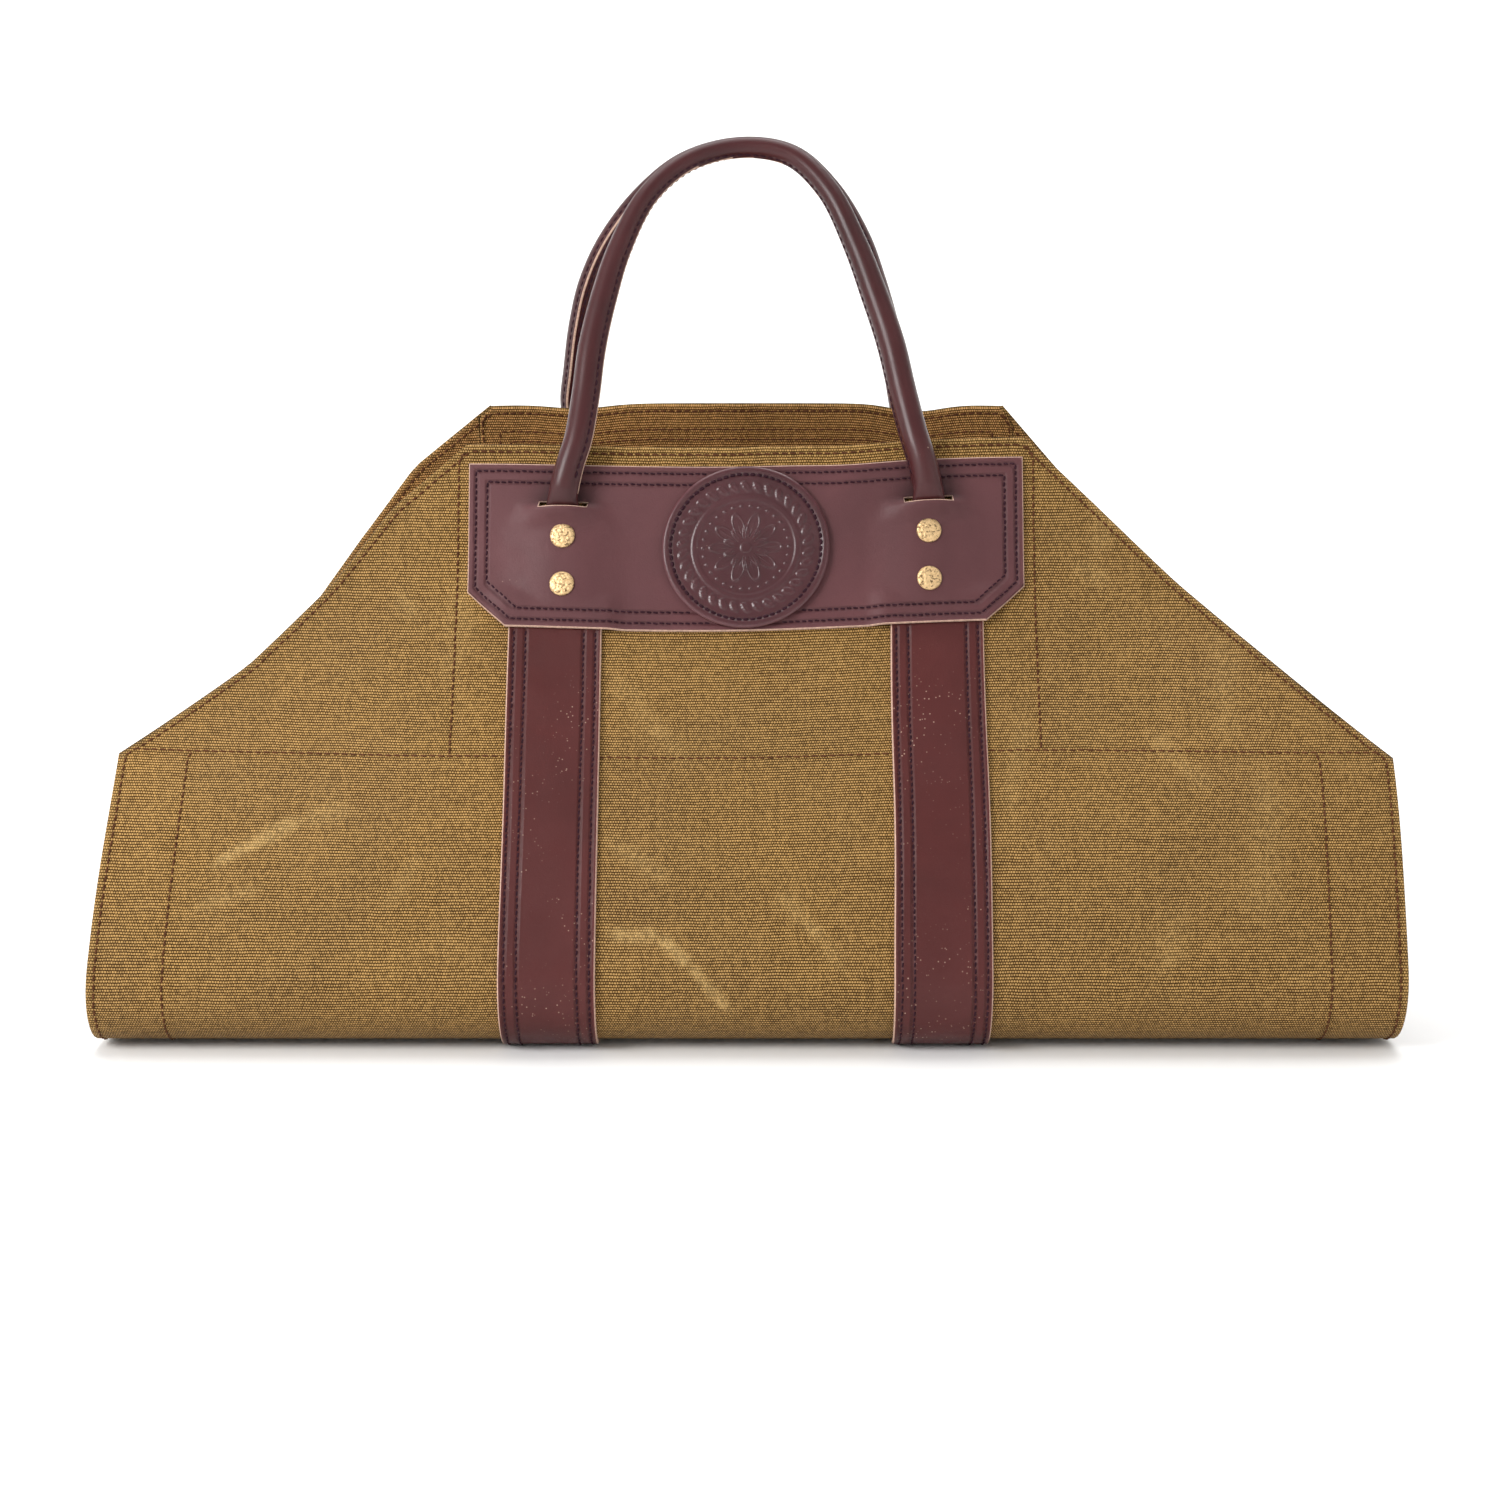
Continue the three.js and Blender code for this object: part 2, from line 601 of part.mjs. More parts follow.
// Sections of one handle leg from the top edge of the canvas up to the top of the handle.
function legStations(side, hand) {
  const isBack = side === 'back';
  const normal = clothNormal(hand * HANDLE_X, alongPanel(side, 0));
  const start = legStart(side, hand);
  const top = (isBack ? 1 : -1) * (HANDLE_TOP_THICKNESS / 2 + LAYER_GAP);
  const apex = legStart('front', hand).z + HANDLE_RISE - (isBack ? BACK_HANDLE_DROP : 0);
  const rise = apex - start.z;
  return HANDLE_PATH.map((row) => {
    const y = THREE.MathUtils.lerp(start.y, top, row.lean);
    const half = handleThickness(row.rise) / 2;
    return {
      point: new THREE.Vector3(legX(side, hand, row), y, start.z + row.rise * rise),
      normal,
      wide: half,
      thick: half,
    };
  });
}

// Elliptical rings along a handle, from one tail end through the top to the other tail end.
function handleSolid(side) {
  const left = [...tailStations(side, -1), ...legStations(side, -1)];
  const right = [...tailStations(side, 1), ...legStations(side, 1)].slice(0, -1).reverse();
  const stations = [...left, ...right];
  const curve = new THREE.CatmullRomCurve3(stations.map((s) => s.point), false, 'centripetal');
  const freeStart = TAIL_SECTIONS.length;
  const rings = [];
  for (let k = 0; k < stations.length - 1; k += 1) {
    const isFree = k >= freeStart - 1 && k < stations.length - freeStart;
    const count = isFree ? RINGS_PER_STATION : 1;
    for (let part = 0; part < count; part += 1) {
      rings.push(handleRing(curve, stations, k, part / count));
    }
  }
  rings.push(handleRing(curve, stations, stations.length - 2, 1));
  return ringSolid(rings);
}

function handleRing(curve, stations, k, part) {
  const share = (k + part) / (stations.length - 1);
  const centre = curve.getPoint(share);
  const tangent = curve.getTangent(share);
  const [from, to] = [stations[k], stations[k + 1]];
  const normal = from.normal.clone().lerp(to.normal, part);
  const wideAxis = tangent.clone().cross(normal).normalize();
  const thickAxis = wideAxis.clone().cross(tangent).normalize();
  const wide = THREE.MathUtils.lerp(from.wide, to.wide, part);
  const thick = THREE.MathUtils.lerp(from.thick, to.thick, part);
  return Array.from({ length: HANDLE_SIDES }, (_, n) => {
    const angle = ((0.5 - n) / HANDLE_SIDES) * Math.PI * 2;
    return centre.clone()
      .addScaledVector(wideAxis, Math.cos(angle) * wide)
      .addScaledVector(thickAxis, Math.sin(angle) * thick);
  });
}

// Solid for a joining or cutting step, and its geometry back.
function toManifold(geometry) {
  const mesh = new wasm.Mesh({
    numProp: 3,
    vertProperties: new Float32Array(geometry.attributes.position.array),
    triVerts: new Uint32Array(geometry.index.array),
  });
  return new wasm.Manifold(mesh);
}

function fromManifold(solid) {
  const mesh = solid.getMesh();
  const geometry = new THREE.BufferGeometry();
  const positions = new THREE.BufferAttribute(new Float32Array(mesh.vertProperties), 3);
  geometry.setAttribute('position', positions);
  geometry.setIndex(new THREE.BufferAttribute(new Uint32Array(mesh.triVerts), 1));
  return geometry;
}

// Turned body about the local normal of the cloth. The profile lists radius and offset pairs
// that start and end on the axis, with the offset growing.
function turnedOnCloth(profile, across, along, sides) {
  const origin = clothPoint(across, along);
  const axis = clothNormal(across, along);
  const sideX = new THREE.Vector3(1, 0, 0).cross(axis).normalize().negate();
  const sideY = axis.clone().cross(sideX);
  const place = (radius, offset, angle) => origin.clone()
    .addScaledVector(axis, offset)
    .addScaledVector(sideX, radius * Math.cos(angle))
    .addScaledVector(sideY, radius * Math.sin(angle));
  const rings = profile.map(({ radius, offset }) => Array.from(
    { length: sides },
    (_, k) => place(radius, offset, (k / sides) * Math.PI * 2),
  ));
  return ringSolid(rings);
}

function rivetPlaces(side, hand) {
  const upper = SLIT_TOP + RIVET_SETBACK;
  return [
    { name: 'upper', across: hand * HANDLE_X, along: alongPanel(side, upper) },
    { name: 'lower', across: hand * HANDLE_X, along: alongPanel(side, upper + RIVET_PITCH) },
  ];
}

function rivetSolid({ across, along }) {
  const shank = RIVET_SHANK_DIAMETER / 2;
  const head = RIVET_HEAD_DIAMETER / 2;
  const burr = RIVET_BURR_DIAMETER / 2;
  const headSeat = patchSeat(across, along) + PATCH_WALL + RIVET_PLAY;
  const burrSeat = FACING_INNER - RIVET_PLAY;
  return turnedOnCloth([
    { radius: burr * BURR_FACE, offset: burrSeat - RIVET_BURR_HEIGHT },
    { radius: burr, offset: burrSeat },
    { radius: shank, offset: burrSeat },
    { radius: shank, offset: headSeat },
    { radius: head, offset: headSeat },
    { radius: head, offset: headSeat + RIVET_HEAD_HEIGHT * HEAD_RIM },
    { radius: head * HEAD_TOP, offset: headSeat + RIVET_HEAD_HEIGHT },
  ], across, along, RIVET_SIDES);
}

function rivetHole({ across, along }) {
  const radius = RIVET_SHANK_DIAMETER / 2 + HOLE_CLEARANCE;
  const far = SLIT_LIP_LIFT + PATCH_WALL + RIVET_HEAD_HEIGHT;
  const near = FACING_INNER - RIVET_BURR_HEIGHT;
  const profile = [{ radius, offset: near }, { radius, offset: far }];
  return toManifold(turnedOnCloth(profile, across, along, RIVET_SIDES));
}

function drilled(geometry, places) {
  let solid = toManifold(geometry);
  for (const place of places) solid = solid.subtract(rivetHole(place));
  return fromManifold(solid);
}

// Round medallion that follows the patch, with a raised rim and one raised ring.
function medallionSolid() {
  const centreDown = PATCH_DROP + PATCH_HEIGHT / 2;
  const radius = MEDALLION_DIAMETER / 2;
  const seat = LEATHER_SEAT + PATCH_WALL + LAYER_GAP;
  const place = (share, height, k) => {
    const angle = (k / MEDALLION_SIDES) * Math.PI * 2;
    const across = radius * share * Math.cos(angle);
    const along = alongPanel('front', centreDown + radius * share * Math.sin(angle));
    return placeOnCloth(across, along, seat + height * MEDALLION_WALL);
  };
  const ring = (share, height) => Array.from(
    { length: MEDALLION_SIDES },
    (_, k) => place(share, height, k),
  );
  const back = [ring(MEDALLION_RINGS[0].radius, 0), ring(1, 0)];
  const face = [...MEDALLION_RINGS].reverse().map((row) => ring(row.radius, row.height));
  return ringSolid([...back, ...face].reverse());
}

function panelRivets(side) {
  return [-1, 1].flatMap((hand) => rivetPlaces(side, hand));
}

function buildSling() {
  const places = [...panelRivets('front'), ...panelRivets('back')];
  const rows = wholeRows(0);
  const sling = clothSheet(rows, canvasLines, fixed(CANVAS_OUTER), fixed(CANVAS_INNER));
  addPiece('canvas_sling', drilled(sling, places), canvas);
}

function buildFacings(side) {
  const places = panelRivets(side);
  const foot = CORNER_CUT_HEIGHT;
  const rows = panelRows(side, HEM_SETBACK, foot);
  const top = clothSheet(rows, topFacingLines, fixed(FACING_OUTER), fixed(FACING_INNER));
  addPiece(`top_facing_${side}`, drilled(top, places), facing);
  for (const [hand, word] of [[-1, 'left'], [1, 'right']]) {
    const cornerRows = panelRows(side, FACING_INSET, foot - LAYER_GAP);
    const lines = cornerFacingLines(hand);
    const corner = clothSheet(cornerRows, lines, fixed(FACING_OUTER), fixed(FACING_INNER));
    addPiece(`corner_facing_${side}_${word}`, corner, facing);
  }
}

function buildHemAndStrap(hand, word) {
  const hemRows = wholeRows(CORNER_CUT_HEIGHT + LAYER_GAP);
  const hem = clothSheet(hemRows, sideHemLines(hand), fixed(FACING_OUTER), fixed(FACING_INNER));
  addPiece(`side_hem_${word}`, hem, facing);
  const lines = [STRAP_INSIDE, STRAP_OUTSIDE];
  const strapLines = hand < 0 ? mirrored(lines) : lines;
  const strapRows = wholeRows(STRAP_START);
  const strap = clothSheet(strapRows, () => strapLines, fixed(STRAP_OUTER), fixed(LEATHER_SEAT));
  addPiece(`strap_${word}`, strap, strapLeather);
}

function buildHandleSet(side) {
  const places = panelRivets(side);
  addPiece(`handle_patch_${side}`, drilled(patchSolid(side), places), patchLeather);
  addPiece(`handle_${side}`, drilled(handleSolid(side), places), handleLeather);
  for (const [hand, word] of [[-1, 'left'], [1, 'right']]) {
    for (const place of rivetPlaces(side, hand)) {
      addPiece(`rivet_${side}_${word}_${place.name}`, rivetSolid(place), brass);
    }
  }
}

buildSling();
buildFacings('front');
buildFacings('back');
buildHemAndStrap(-1, 'left');
buildHemAndStrap(1, 'right');
buildHandleSet('front');
buildHandleSet('back');
addPiece('medallion', medallionSolid(), patchLeather);

export default carrier;
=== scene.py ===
"""Canvas log carrier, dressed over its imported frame.

Metres, +Z up, +X to the right of the front panel, which faces -Y, the same as the frame.
Everything is placed in the cloth's own coordinates: across runs along X, and along runs from
the front top edge through 0 at the middle of the bottom to the back top edge.
"""
import math

import bpy
import numpy as np
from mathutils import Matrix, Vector


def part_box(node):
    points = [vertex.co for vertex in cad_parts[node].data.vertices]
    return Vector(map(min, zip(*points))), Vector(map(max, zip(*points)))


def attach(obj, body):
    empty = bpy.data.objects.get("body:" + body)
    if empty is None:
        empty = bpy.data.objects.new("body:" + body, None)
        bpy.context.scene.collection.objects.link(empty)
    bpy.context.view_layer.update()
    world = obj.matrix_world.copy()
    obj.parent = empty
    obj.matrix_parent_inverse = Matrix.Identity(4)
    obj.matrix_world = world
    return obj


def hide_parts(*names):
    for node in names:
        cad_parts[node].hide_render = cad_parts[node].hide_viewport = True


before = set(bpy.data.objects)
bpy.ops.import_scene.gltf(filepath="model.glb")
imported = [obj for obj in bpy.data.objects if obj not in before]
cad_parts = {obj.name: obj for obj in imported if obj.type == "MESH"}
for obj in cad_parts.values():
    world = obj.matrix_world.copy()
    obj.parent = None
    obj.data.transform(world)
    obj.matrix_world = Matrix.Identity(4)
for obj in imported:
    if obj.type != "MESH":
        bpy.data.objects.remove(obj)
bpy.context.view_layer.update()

bl_info = {
    "name": "Canvas Log Carrier",
    "version": (1, 0, 0),
    "blender": (4, 5, 0),
    "location": "View3D > Sidebar > Log Carrier",
    "description": "Builds a waxed canvas log carrier with leather straps and rolled handles",
    "category": "Add Mesh",
}

MM = 0.001
FRONT, BACK = -1, 1
LEFT, RIGHT = -1, 1
SIDE_WORD = {FRONT: "front", BACK: "back"}
HAND_WORD = {LEFT: "left", RIGHT: "right"}


def box_size(node, axis):
    """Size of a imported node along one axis, in metres."""
    low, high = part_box(node)
    return round(high[axis] - low[axis], 4)


# Side profile from the middle of the bottom to the top edge, as a share of the half length and
# the climb from the floor in degrees. The cloth runs along arcs that join in a tangent.
PROFILE = (
    (0.000, 0.0), (0.289, 0.0), (0.411, 109.0), (0.500, 116.0),
    (0.636, 127.0), (0.796, 113.5), (0.900, 106.0), (1.000, 105.5),
)
TURN_START = PROFILE[1][0]
FOLDS_FULL = 0.75

# Soft folds and dents: panel, across as a share of the half width, then down, wide and tall as
# shares of the half length, and push outward in mm.
FOLDS = (
    (FRONT, -0.63, 0.12, 0.14, 0.12, -7.0),
    (FRONT, -0.96, 0.36, 0.22, 0.16, -9.0),
    (FRONT, 0.96, 0.36, 0.22, 0.16, 9.0),
    (FRONT, -0.50, 0.28, 0.10, 0.16, 2.5),
    (FRONT, -0.82, 0.42, 0.12, 0.12, 2.5),
    (FRONT, 0.62, 0.14, 0.13, 0.12, -3.0),
    (FRONT, 0.78, 0.40, 0.14, 0.12, 2.5),
    (FRONT, 0.00, 0.40, 0.12, 0.12, -2.0),
    (BACK, -0.67, 0.12, 0.12, 0.11, 6.0),
    (BACK, 0.66, 0.14, 0.12, 0.12, -4.0),
    (BACK, 0.30, 0.42, 0.16, 0.12, 2.5),
    (BACK, -0.75, 0.42, 0.14, 0.12, -2.5),
)

# How far the cut edges stand in from the straight lines of the flat pattern, in mm, at shares
# of the corner cut's height.
CUT_DOWN = (0.00, 0.20, 0.45, 0.70, 1.00)
CUT_EDGE = {
    (FRONT, LEFT): (0, -3, 9, 14, 6),
    (FRONT, RIGHT): (0, 1, 3, 1, 0),
    (BACK, LEFT): (0, -8, 2, 14, 9),
    (BACK, RIGHT): (0, 5, 9, 10, 8),
}
CUT_FADE_END = 2.0

# Dips of a panel's top edge: panel, across as a share of the handles' half spacing, width and
# drop in mm.
EDGE_DIPS = ((BACK, -1.00, 20.0, 2.5), (BACK, 1.02, 18.0, 4.0), (FRONT, 0.55, 22.0, 1.0))

# Handle path above the top edge: rise, lean, then spread and sway of the front handle and of
# the back handle as shares of the handles' half spacing.
HANDLE_PATH = (
    (0.00, 0.00, 0.924, 0.000, 0.995, -0.055),
    (0.14, 0.15, 0.877, -0.010, 0.960, -0.062),
    (0.31, 0.32, 0.829, -0.025, 0.908, -0.073),
    (0.48, 0.49, 0.753, -0.040, 0.835, -0.080),
    (0.65, 0.66, 0.658, -0.048, 0.725, -0.068),
    (0.83, 0.83, 0.508, -0.045, 0.530, -0.047),
    (0.95, 0.95, 0.292, -0.033, 0.300, -0.033),
    (1.00, 1.00, 0.000, -0.015, 0.000, -0.015),
)

# Handle sections from the end of the tail to the top edge: down as a share of the tail's foot,
# flat or round, wide, thick, lift off the canvas and swing towards the foot of the leg.
TAIL_SECTIONS = (
    (1.000, True, 0.94, 1.00, 0.00, 0.0),
    (0.850, True, 1.00, 1.00, 0.00, 0.0),
    (0.700, True, 1.00, 1.00, 0.00, 0.0),
    (0.560, True, 1.00, 1.00, 0.00, 0.0),
    (0.465, False, 0.90, 0.22, 0.06, 0.0),
    (0.395, False, 0.74, 0.52, 1.00, 0.0),
    (0.300, False, 0.65, 0.86, 1.08, 0.1),
    (0.150, False, 0.63, 0.98, 1.14, 0.5),
)
SLIM_START = 0.3

# Medallion heights over its seat, as shares of its radius and of its wall.
MEDALLION_RADII = (0.00, 0.50, 0.575, 0.60, 0.64, 0.665, 0.84, 0.90, 0.925, 0.96, 0.985, 1.00)
MEDALLION_HEIGHTS = (0.86, 0.86, 0.86, 0.98, 0.98, 0.86, 0.86, 0.88, 1.04, 1.08, 1.02, 0.80)

# Small undulations that waxed cloth keeps: wavelength and phase across and along, size in mm.
RIPPLES = (
    (0.171, 0.3, 0.236, 1.1, 0.75),
    (0.117, 2.0, 0.143, 0.4, 0.45),
    (0.083, 4.1, 0.097, 2.6, 0.28),
)


class CarrierShape:
    """The carrier's sizes and the surface that all its layers follow."""

    layer_gap = 0.3 * MM
    facing_inset = 5.5 * MM
    hem_setback = 0.8 * MM
    strap_lap = 12 * MM
    chamfer = (19 * MM, 17.5 * MM)
    slit_width = 23 * MM
    slit_drop = 19 * MM
    slit_opening = 3 * MM
    lip_lift = 9.6 * MM
    bulge_margin = 1.6 * MM
    bulge_spread = 12 * MM
    tail_crown = -8 * MM
    tail_spread = 14 * MM
    tail_width = 21 * MM
    tail_wall = 2.6 * MM
    tail_length = 48 * MM
    tail_clearance = 0.5 * MM
    back_handle_drop = -1 * MM
    rivet_setback = 17 * MM
    rivet_pitch = 24 * MM
    panel_bow = 10 * MM
    front_sag = 3 * MM
    front_tilt = 2 * MM
    back_raise = 17 * MM
    dip_depth = 60 * MM

    def __init__(self, sizes):
        self.sizes = sizes
        self.half_width = sizes.cloth_width / 2
        self.half_length = sizes.cloth_length / 2
        self.canvas_outer = sizes.canvas_wall / 2
        self.facing_outer = -self.canvas_outer - self.layer_gap
        self.facing_inner = self.facing_outer - sizes.facing_wall
        self.leather_seat = self.canvas_outer + self.layer_gap
        self.strap_outer = self.leather_seat + sizes.strap_wall
        self.strap_centre = sizes.strap_spacing / 2
        self.patch_foot = sizes.patch_drop + sizes.patch_height
        self.strap_start = self.patch_foot - self.strap_lap
        self.handle_x = sizes.handle_spacing / 2
        self.slit_top = sizes.patch_drop + self.slit_drop
        self.slit_foot = self.slit_top + self.slit_opening
        self.lip_run = self.rivet_setback - self.slit_opening - sizes.rivet_diameter / 2
        self.tail_foot = self.slit_top + self.tail_length
        self.tail_bulge = self.tail_wall + self.tail_clearance
        self.facing_x = sizes.top_edge_width / 2 + self.facing_inset
        self.hem_x = self.half_width - sizes.side_hem_width

    def profile(self, reach):
        """Distance out, height and climb of the side profile at distances from the middle."""
        out = np.zeros_like(reach)
        up = np.full_like(reach, self.strap_outer)
        climb = np.zeros_like(reach)
        last = len(PROFILE) - 1
        for row in range(1, len(PROFILE)):
            start = PROFILE[row - 1][0] * self.half_length
            end = PROFILE[row][0] * self.half_length
            angle = math.radians(PROFILE[row - 1][1])
            turn = math.radians(PROFILE[row][1]) - angle
            run = (reach if row == last else np.minimum(reach, end)) - start
            reached = run > 0
            run = np.maximum(run, 0)
            here = angle + turn / (end - start) * run
            if turn == 0:
                out += run * math.cos(angle)
                up += run * math.sin(angle)
            else:
                bend = turn / (end - start)
                out += (np.sin(here) - math.sin(angle)) / bend
                up += (math.cos(angle) - np.cos(here)) / bend
            climb = np.where(reached, here, climb)
        return out, up, climb

    def fold_push(self, panel, across, down):
        push = np.zeros_like(across)
        for side, x, y, wide, tall, size in FOLDS:
            off_x = (across - x * self.half_width) / (wide * self.half_length)
            off_y = (down - y * self.half_length) / (tall * self.half_length)
            push += np.where(panel == side, size * MM * np.exp(-off_x**2 - off_y**2), 0)
        return push

    def ripples(self, across, along):
        """Small waves, flat under the leather and stronger towards the free edges."""
        wave = np.zeros_like(across)
        for long_x, phase_x, long_y, phase_y, size in RIPPLES:
            turn_x = across / long_x * 2 * math.pi + phase_x
            turn_y = along / long_y * 2 * math.pi + phase_y
            wave += size * MM * np.sin(turn_x + 0.6 * np.sin(turn_y)) * np.cos(turn_y)
        return wave * (0.45 + 0.55 * smooth(0.45, 0.95, np.abs(across) / self.half_width))

    def edge_dip(self, panel, across, down):
        drop = np.zeros_like(across)
        for side, x, wide, size in EDGE_DIPS:
            off = (across - x * self.handle_x) / (wide * MM)
            drop += np.where(panel == side, size * MM * np.exp(-off * off), 0)
        return drop * (1 - smooth(0, self.dip_depth, down))

    def lift(self, panel, across, down):
        share = np.abs(across) / self.half_width
        top_share = self.sizes.top_edge_width / self.sizes.cloth_width
        between = 1 - smooth(0, top_share, share)
        tilt = self.front_tilt * across / self.handle_x
        front = tilt * (1 - share) - self.front_sag * between
        back = self.back_raise * (1 - share**3)
        return np.where(panel == FRONT, front, back) - self.edge_dip(panel, across, down)

    def points(self, across, along):
        """Middle of the cloth, as an array that ends in x, y, z."""
        across, along = np.broadcast_arrays(np.asarray(across, float), np.asarray(along, float))
        panel = np.where(along < 0, FRONT, BACK)
        reach = np.abs(along)
        out, up, climb = self.profile(reach)
        down = self.half_length - reach
        full = smooth(TURN_START, FOLDS_FULL, reach / self.half_length)
        bow = self.panel_bow * (1 - (across / self.half_width) ** 2)
        lift = self.lift(panel, across, down)
        push = bow + self.fold_push(panel, across, down) + self.ripples(across, along)
        out = out + (push + lift * np.cos(climb)) * full
        up = up + lift * np.sin(climb) * full
        return np.stack((across, np.where(panel == FRONT, -out, out), up), axis=-1)

    def normals(self, across, along):
        step = 0.5 * MM
        over_x = self.points(across + step, along) - self.points(across - step, along)
        over_along = self.points(across, along + step) - self.points(across, along - step)
        return unit(np.cross(over_along, over_x))

    def place(self, across, along, offset):
        across, along, offset = np.broadcast_arrays(
            np.asarray(across, float), np.asarray(along, float), np.asarray(offset, float))
        return self.points(across, along) + self.normals(across, along) * offset[..., None]

    def edge(self, hand, along):
        """Half width of the cloth at one of its cut corners or side edges."""
        along = np.asarray(along, float)
        height = self.sizes.corner_cut_height
        cut = (self.half_length - np.abs(along)) / height
        low = np.clip(cut, 0, 1)
        top = self.sizes.top_edge_width / 2
        straight = top + (self.half_width - top) * low
        front = np.interp(low, CUT_DOWN, CUT_EDGE[(FRONT, hand)])
        back = np.interp(low, CUT_DOWN, CUT_EDGE[(BACK, hand)])
        inset = np.where(along < 0, front, back) * MM
        return straight - inset * (1 - smooth(1, CUT_FADE_END, cut))

    def facing_line(self, hand, along):
        return np.minimum(self.facing_x, self.edge(hand, along) - 3 * self.hem_setback)

    def hem_line(self, hand, along):
        facing = self.facing_line(hand, along)
        share = (self.hem_x - self.facing_x) / (self.half_width - self.facing_x)
        return facing + (self.edge(hand, along) - facing) * share

    def patch_half_width(self, down):
        start = self.patch_foot - self.chamfer[1]
        cut = np.maximum(0, down - start) / self.chamfer[1]
        return self.sizes.patch_width / 2 - self.chamfer[0] * cut

    def patch_seat(self, across, along):
        """How far the inner face of a patch stands off the cloth, over straps and tails."""
        down = self.half_length - np.abs(along)
        sizes = self.sizes
        off_strap = np.abs(np.abs(across) - self.strap_centre) - sizes.strap_width / 2
        over_strap = 1 - smooth(self.bulge_margin, self.bulge_spread, off_strap)
        strap_edge = self.strap_start - self.layer_gap
        strap_rise = smooth(self.strap_start - self.bulge_spread, strap_edge, down)
        off_tail = np.abs(np.abs(across) - self.handle_x) - self.tail_width / 2
        lip = 1 - smooth(self.slit_foot, self.slit_foot + 1.4 * self.lip_run, down)
        over_tail = 1 - smooth(self.tail_crown, self.tail_spread + 8 * MM * (1 - lip), off_tail)
        bulge = self.tail_bulge + (self.lip_lift - self.tail_bulge) * lip
        under_slit = smooth(self.slit_top, self.slit_foot, down)
        over_end = 1 - smooth(self.tail_foot + self.layer_gap, self.patch_foot, down)
        tail = bulge * over_tail * under_slit * over_end
        strap = (sizes.strap_wall + self.layer_gap) * over_strap * strap_rise
        return self.leather_seat + np.maximum(strap, tail)

    def panel_along(self, panel, down):
        return panel * (self.half_length - np.asarray(down, float))

    def rivet_places(self):
        """Name, panel, hand and place of each rivet."""
        upper = self.slit_top + self.rivet_setback
        for panel in (FRONT, BACK):
            for hand in (LEFT, RIGHT):
                for word, down in (("upper", upper), ("lower", upper + self.rivet_pitch)):
                    name = f"{SIDE_WORD[panel]}_{HAND_WORD[hand]}_{word}"
                    along = float(self.panel_along(panel, down))
                    yield name, panel, hand, hand * self.handle_x, along

    def handle_thickness(self, rise):
        slim = smooth(SLIM_START, 1, np.asarray(rise, float))
        leg, top = self.sizes.handle_leg, self.sizes.handle_top
        return leg + (top - leg) * slim


def smooth(low, high, value):
    share = np.clip((value - low) / (high - low), 0, 1)
    return share * share * (3 - 2 * share)


def unit(vectors):
    length = np.linalg.norm(vectors, axis=-1, keepdims=True)
    return vectors / np.maximum(length, 1e-12)


def steady_noise(count, seed):
    """Even values from 0 to 1 that are the same in each run."""
    return np.random.default_rng(seed).random(count)


def spaced(stops, step):
    """Values from the first stop to the last, at each stop and about a step apart."""
    values = [stops[0]]
    for low, high in zip(stops, stops[1:]):
        count = max(1, round(abs(high - low) / step))
        values.extend(low + (high - low) * (k + 1) / count for k in range(count))
    return np.array(values)


# Sizes and colours that can be set in the sidebar
def length_prop(name, text, default):
    return bpy.props.FloatProperty(
        name=name, description=text, default=default, min=0.0, subtype="DISTANCE", unit="LENGTH",
        precision=4)


def colour_prop(name, text, default):
    return bpy.props.FloatVectorProperty(
        name=name, description=text, default=default, min=0.0, max=1.0, subtype="COLOR", size=3)


class LogCarrierSizes(bpy.types.PropertyGroup):
    """Sizes of the carrier, in metres."""

    cloth_width: length_prop("Cloth width", "Width of the canvas from side to side",
                             box_size("canvas_sling", 0))
    cloth_length: length_prop("Cloth length", "Length of the canvas laid flat", 0.9)
    top_edge_width: length_prop("Top edge width", "Width of each panel's straight top edge",
                                0.271)
    corner_cut_height: length_prop("Corner cut height", "Height of the slanted corners", 0.16)
    canvas_wall: length_prop("Canvas thickness", "Thickness of the waxed canvas", 0.0013)
    facing_wall: length_prop("Facing thickness", "Thickness of facings and hems", 0.0011)
    side_hem_width: length_prop("Side hem width", "Width of the hems along the sides", 0.037)
    strap_width: length_prop("Strap width", "Width of each leather strap", 0.045)
    strap_spacing: length_prop("Strap spacing", "Distance between the straps' middles", 0.183)
    strap_wall: length_prop("Strap thickness", "Thickness of the strap leather", 0.0022)
    patch_width: length_prop("Patch width", "Width of each handle patch",
                             box_size("handle_patch_front", 0))
    patch_height: length_prop("Patch height", "Height of each handle patch", 0.082)
    patch_drop: length_prop("Patch drop", "Distance of the patch from the top edge", 0.01)
    patch_wall: length_prop("Patch thickness", "Thickness of the patch leather", 0.0022)
    handle_spacing: length_prop("Handle spacing", "Distance between a handle's legs", 0.176)
    handle_rise: length_prop("Handle rise", "Height of the handle over the top edge", 0.143)
    handle_top: length_prop("Handle top", "Thickness of the handle at its top", 0.0098)
    handle_leg: length_prop("Handle leg", "Thickness of the handle's legs", 0.0132)
    rivet_diameter: length_prop("Rivet diameter", "Diameter of the rivet heads", 0.012)
    rivet_height: length_prop("Rivet height", "Height of the rivet heads", 0.0015)
    medallion_diameter: length_prop("Medallion diameter", "Diameter of the medallion",
                                    box_size("medallion", 0))
    medallion_wall: length_prop("Medallion thickness", "Thickness of the medallion", 0.003)
    stitch_pitch: length_prop("Stitch pitch", "Distance from stitch to stitch", 0.0042)
    thread_width: length_prop("Thread width", "Thickness of the sewing thread", 0.00105)
    warp_pitch: length_prop("Warp pitch", "Distance between the canvas's warp threads", 0.0012)
    weft_pitch: length_prop("Weft pitch", "Distance between the canvas's weft ribs", 0.00138)


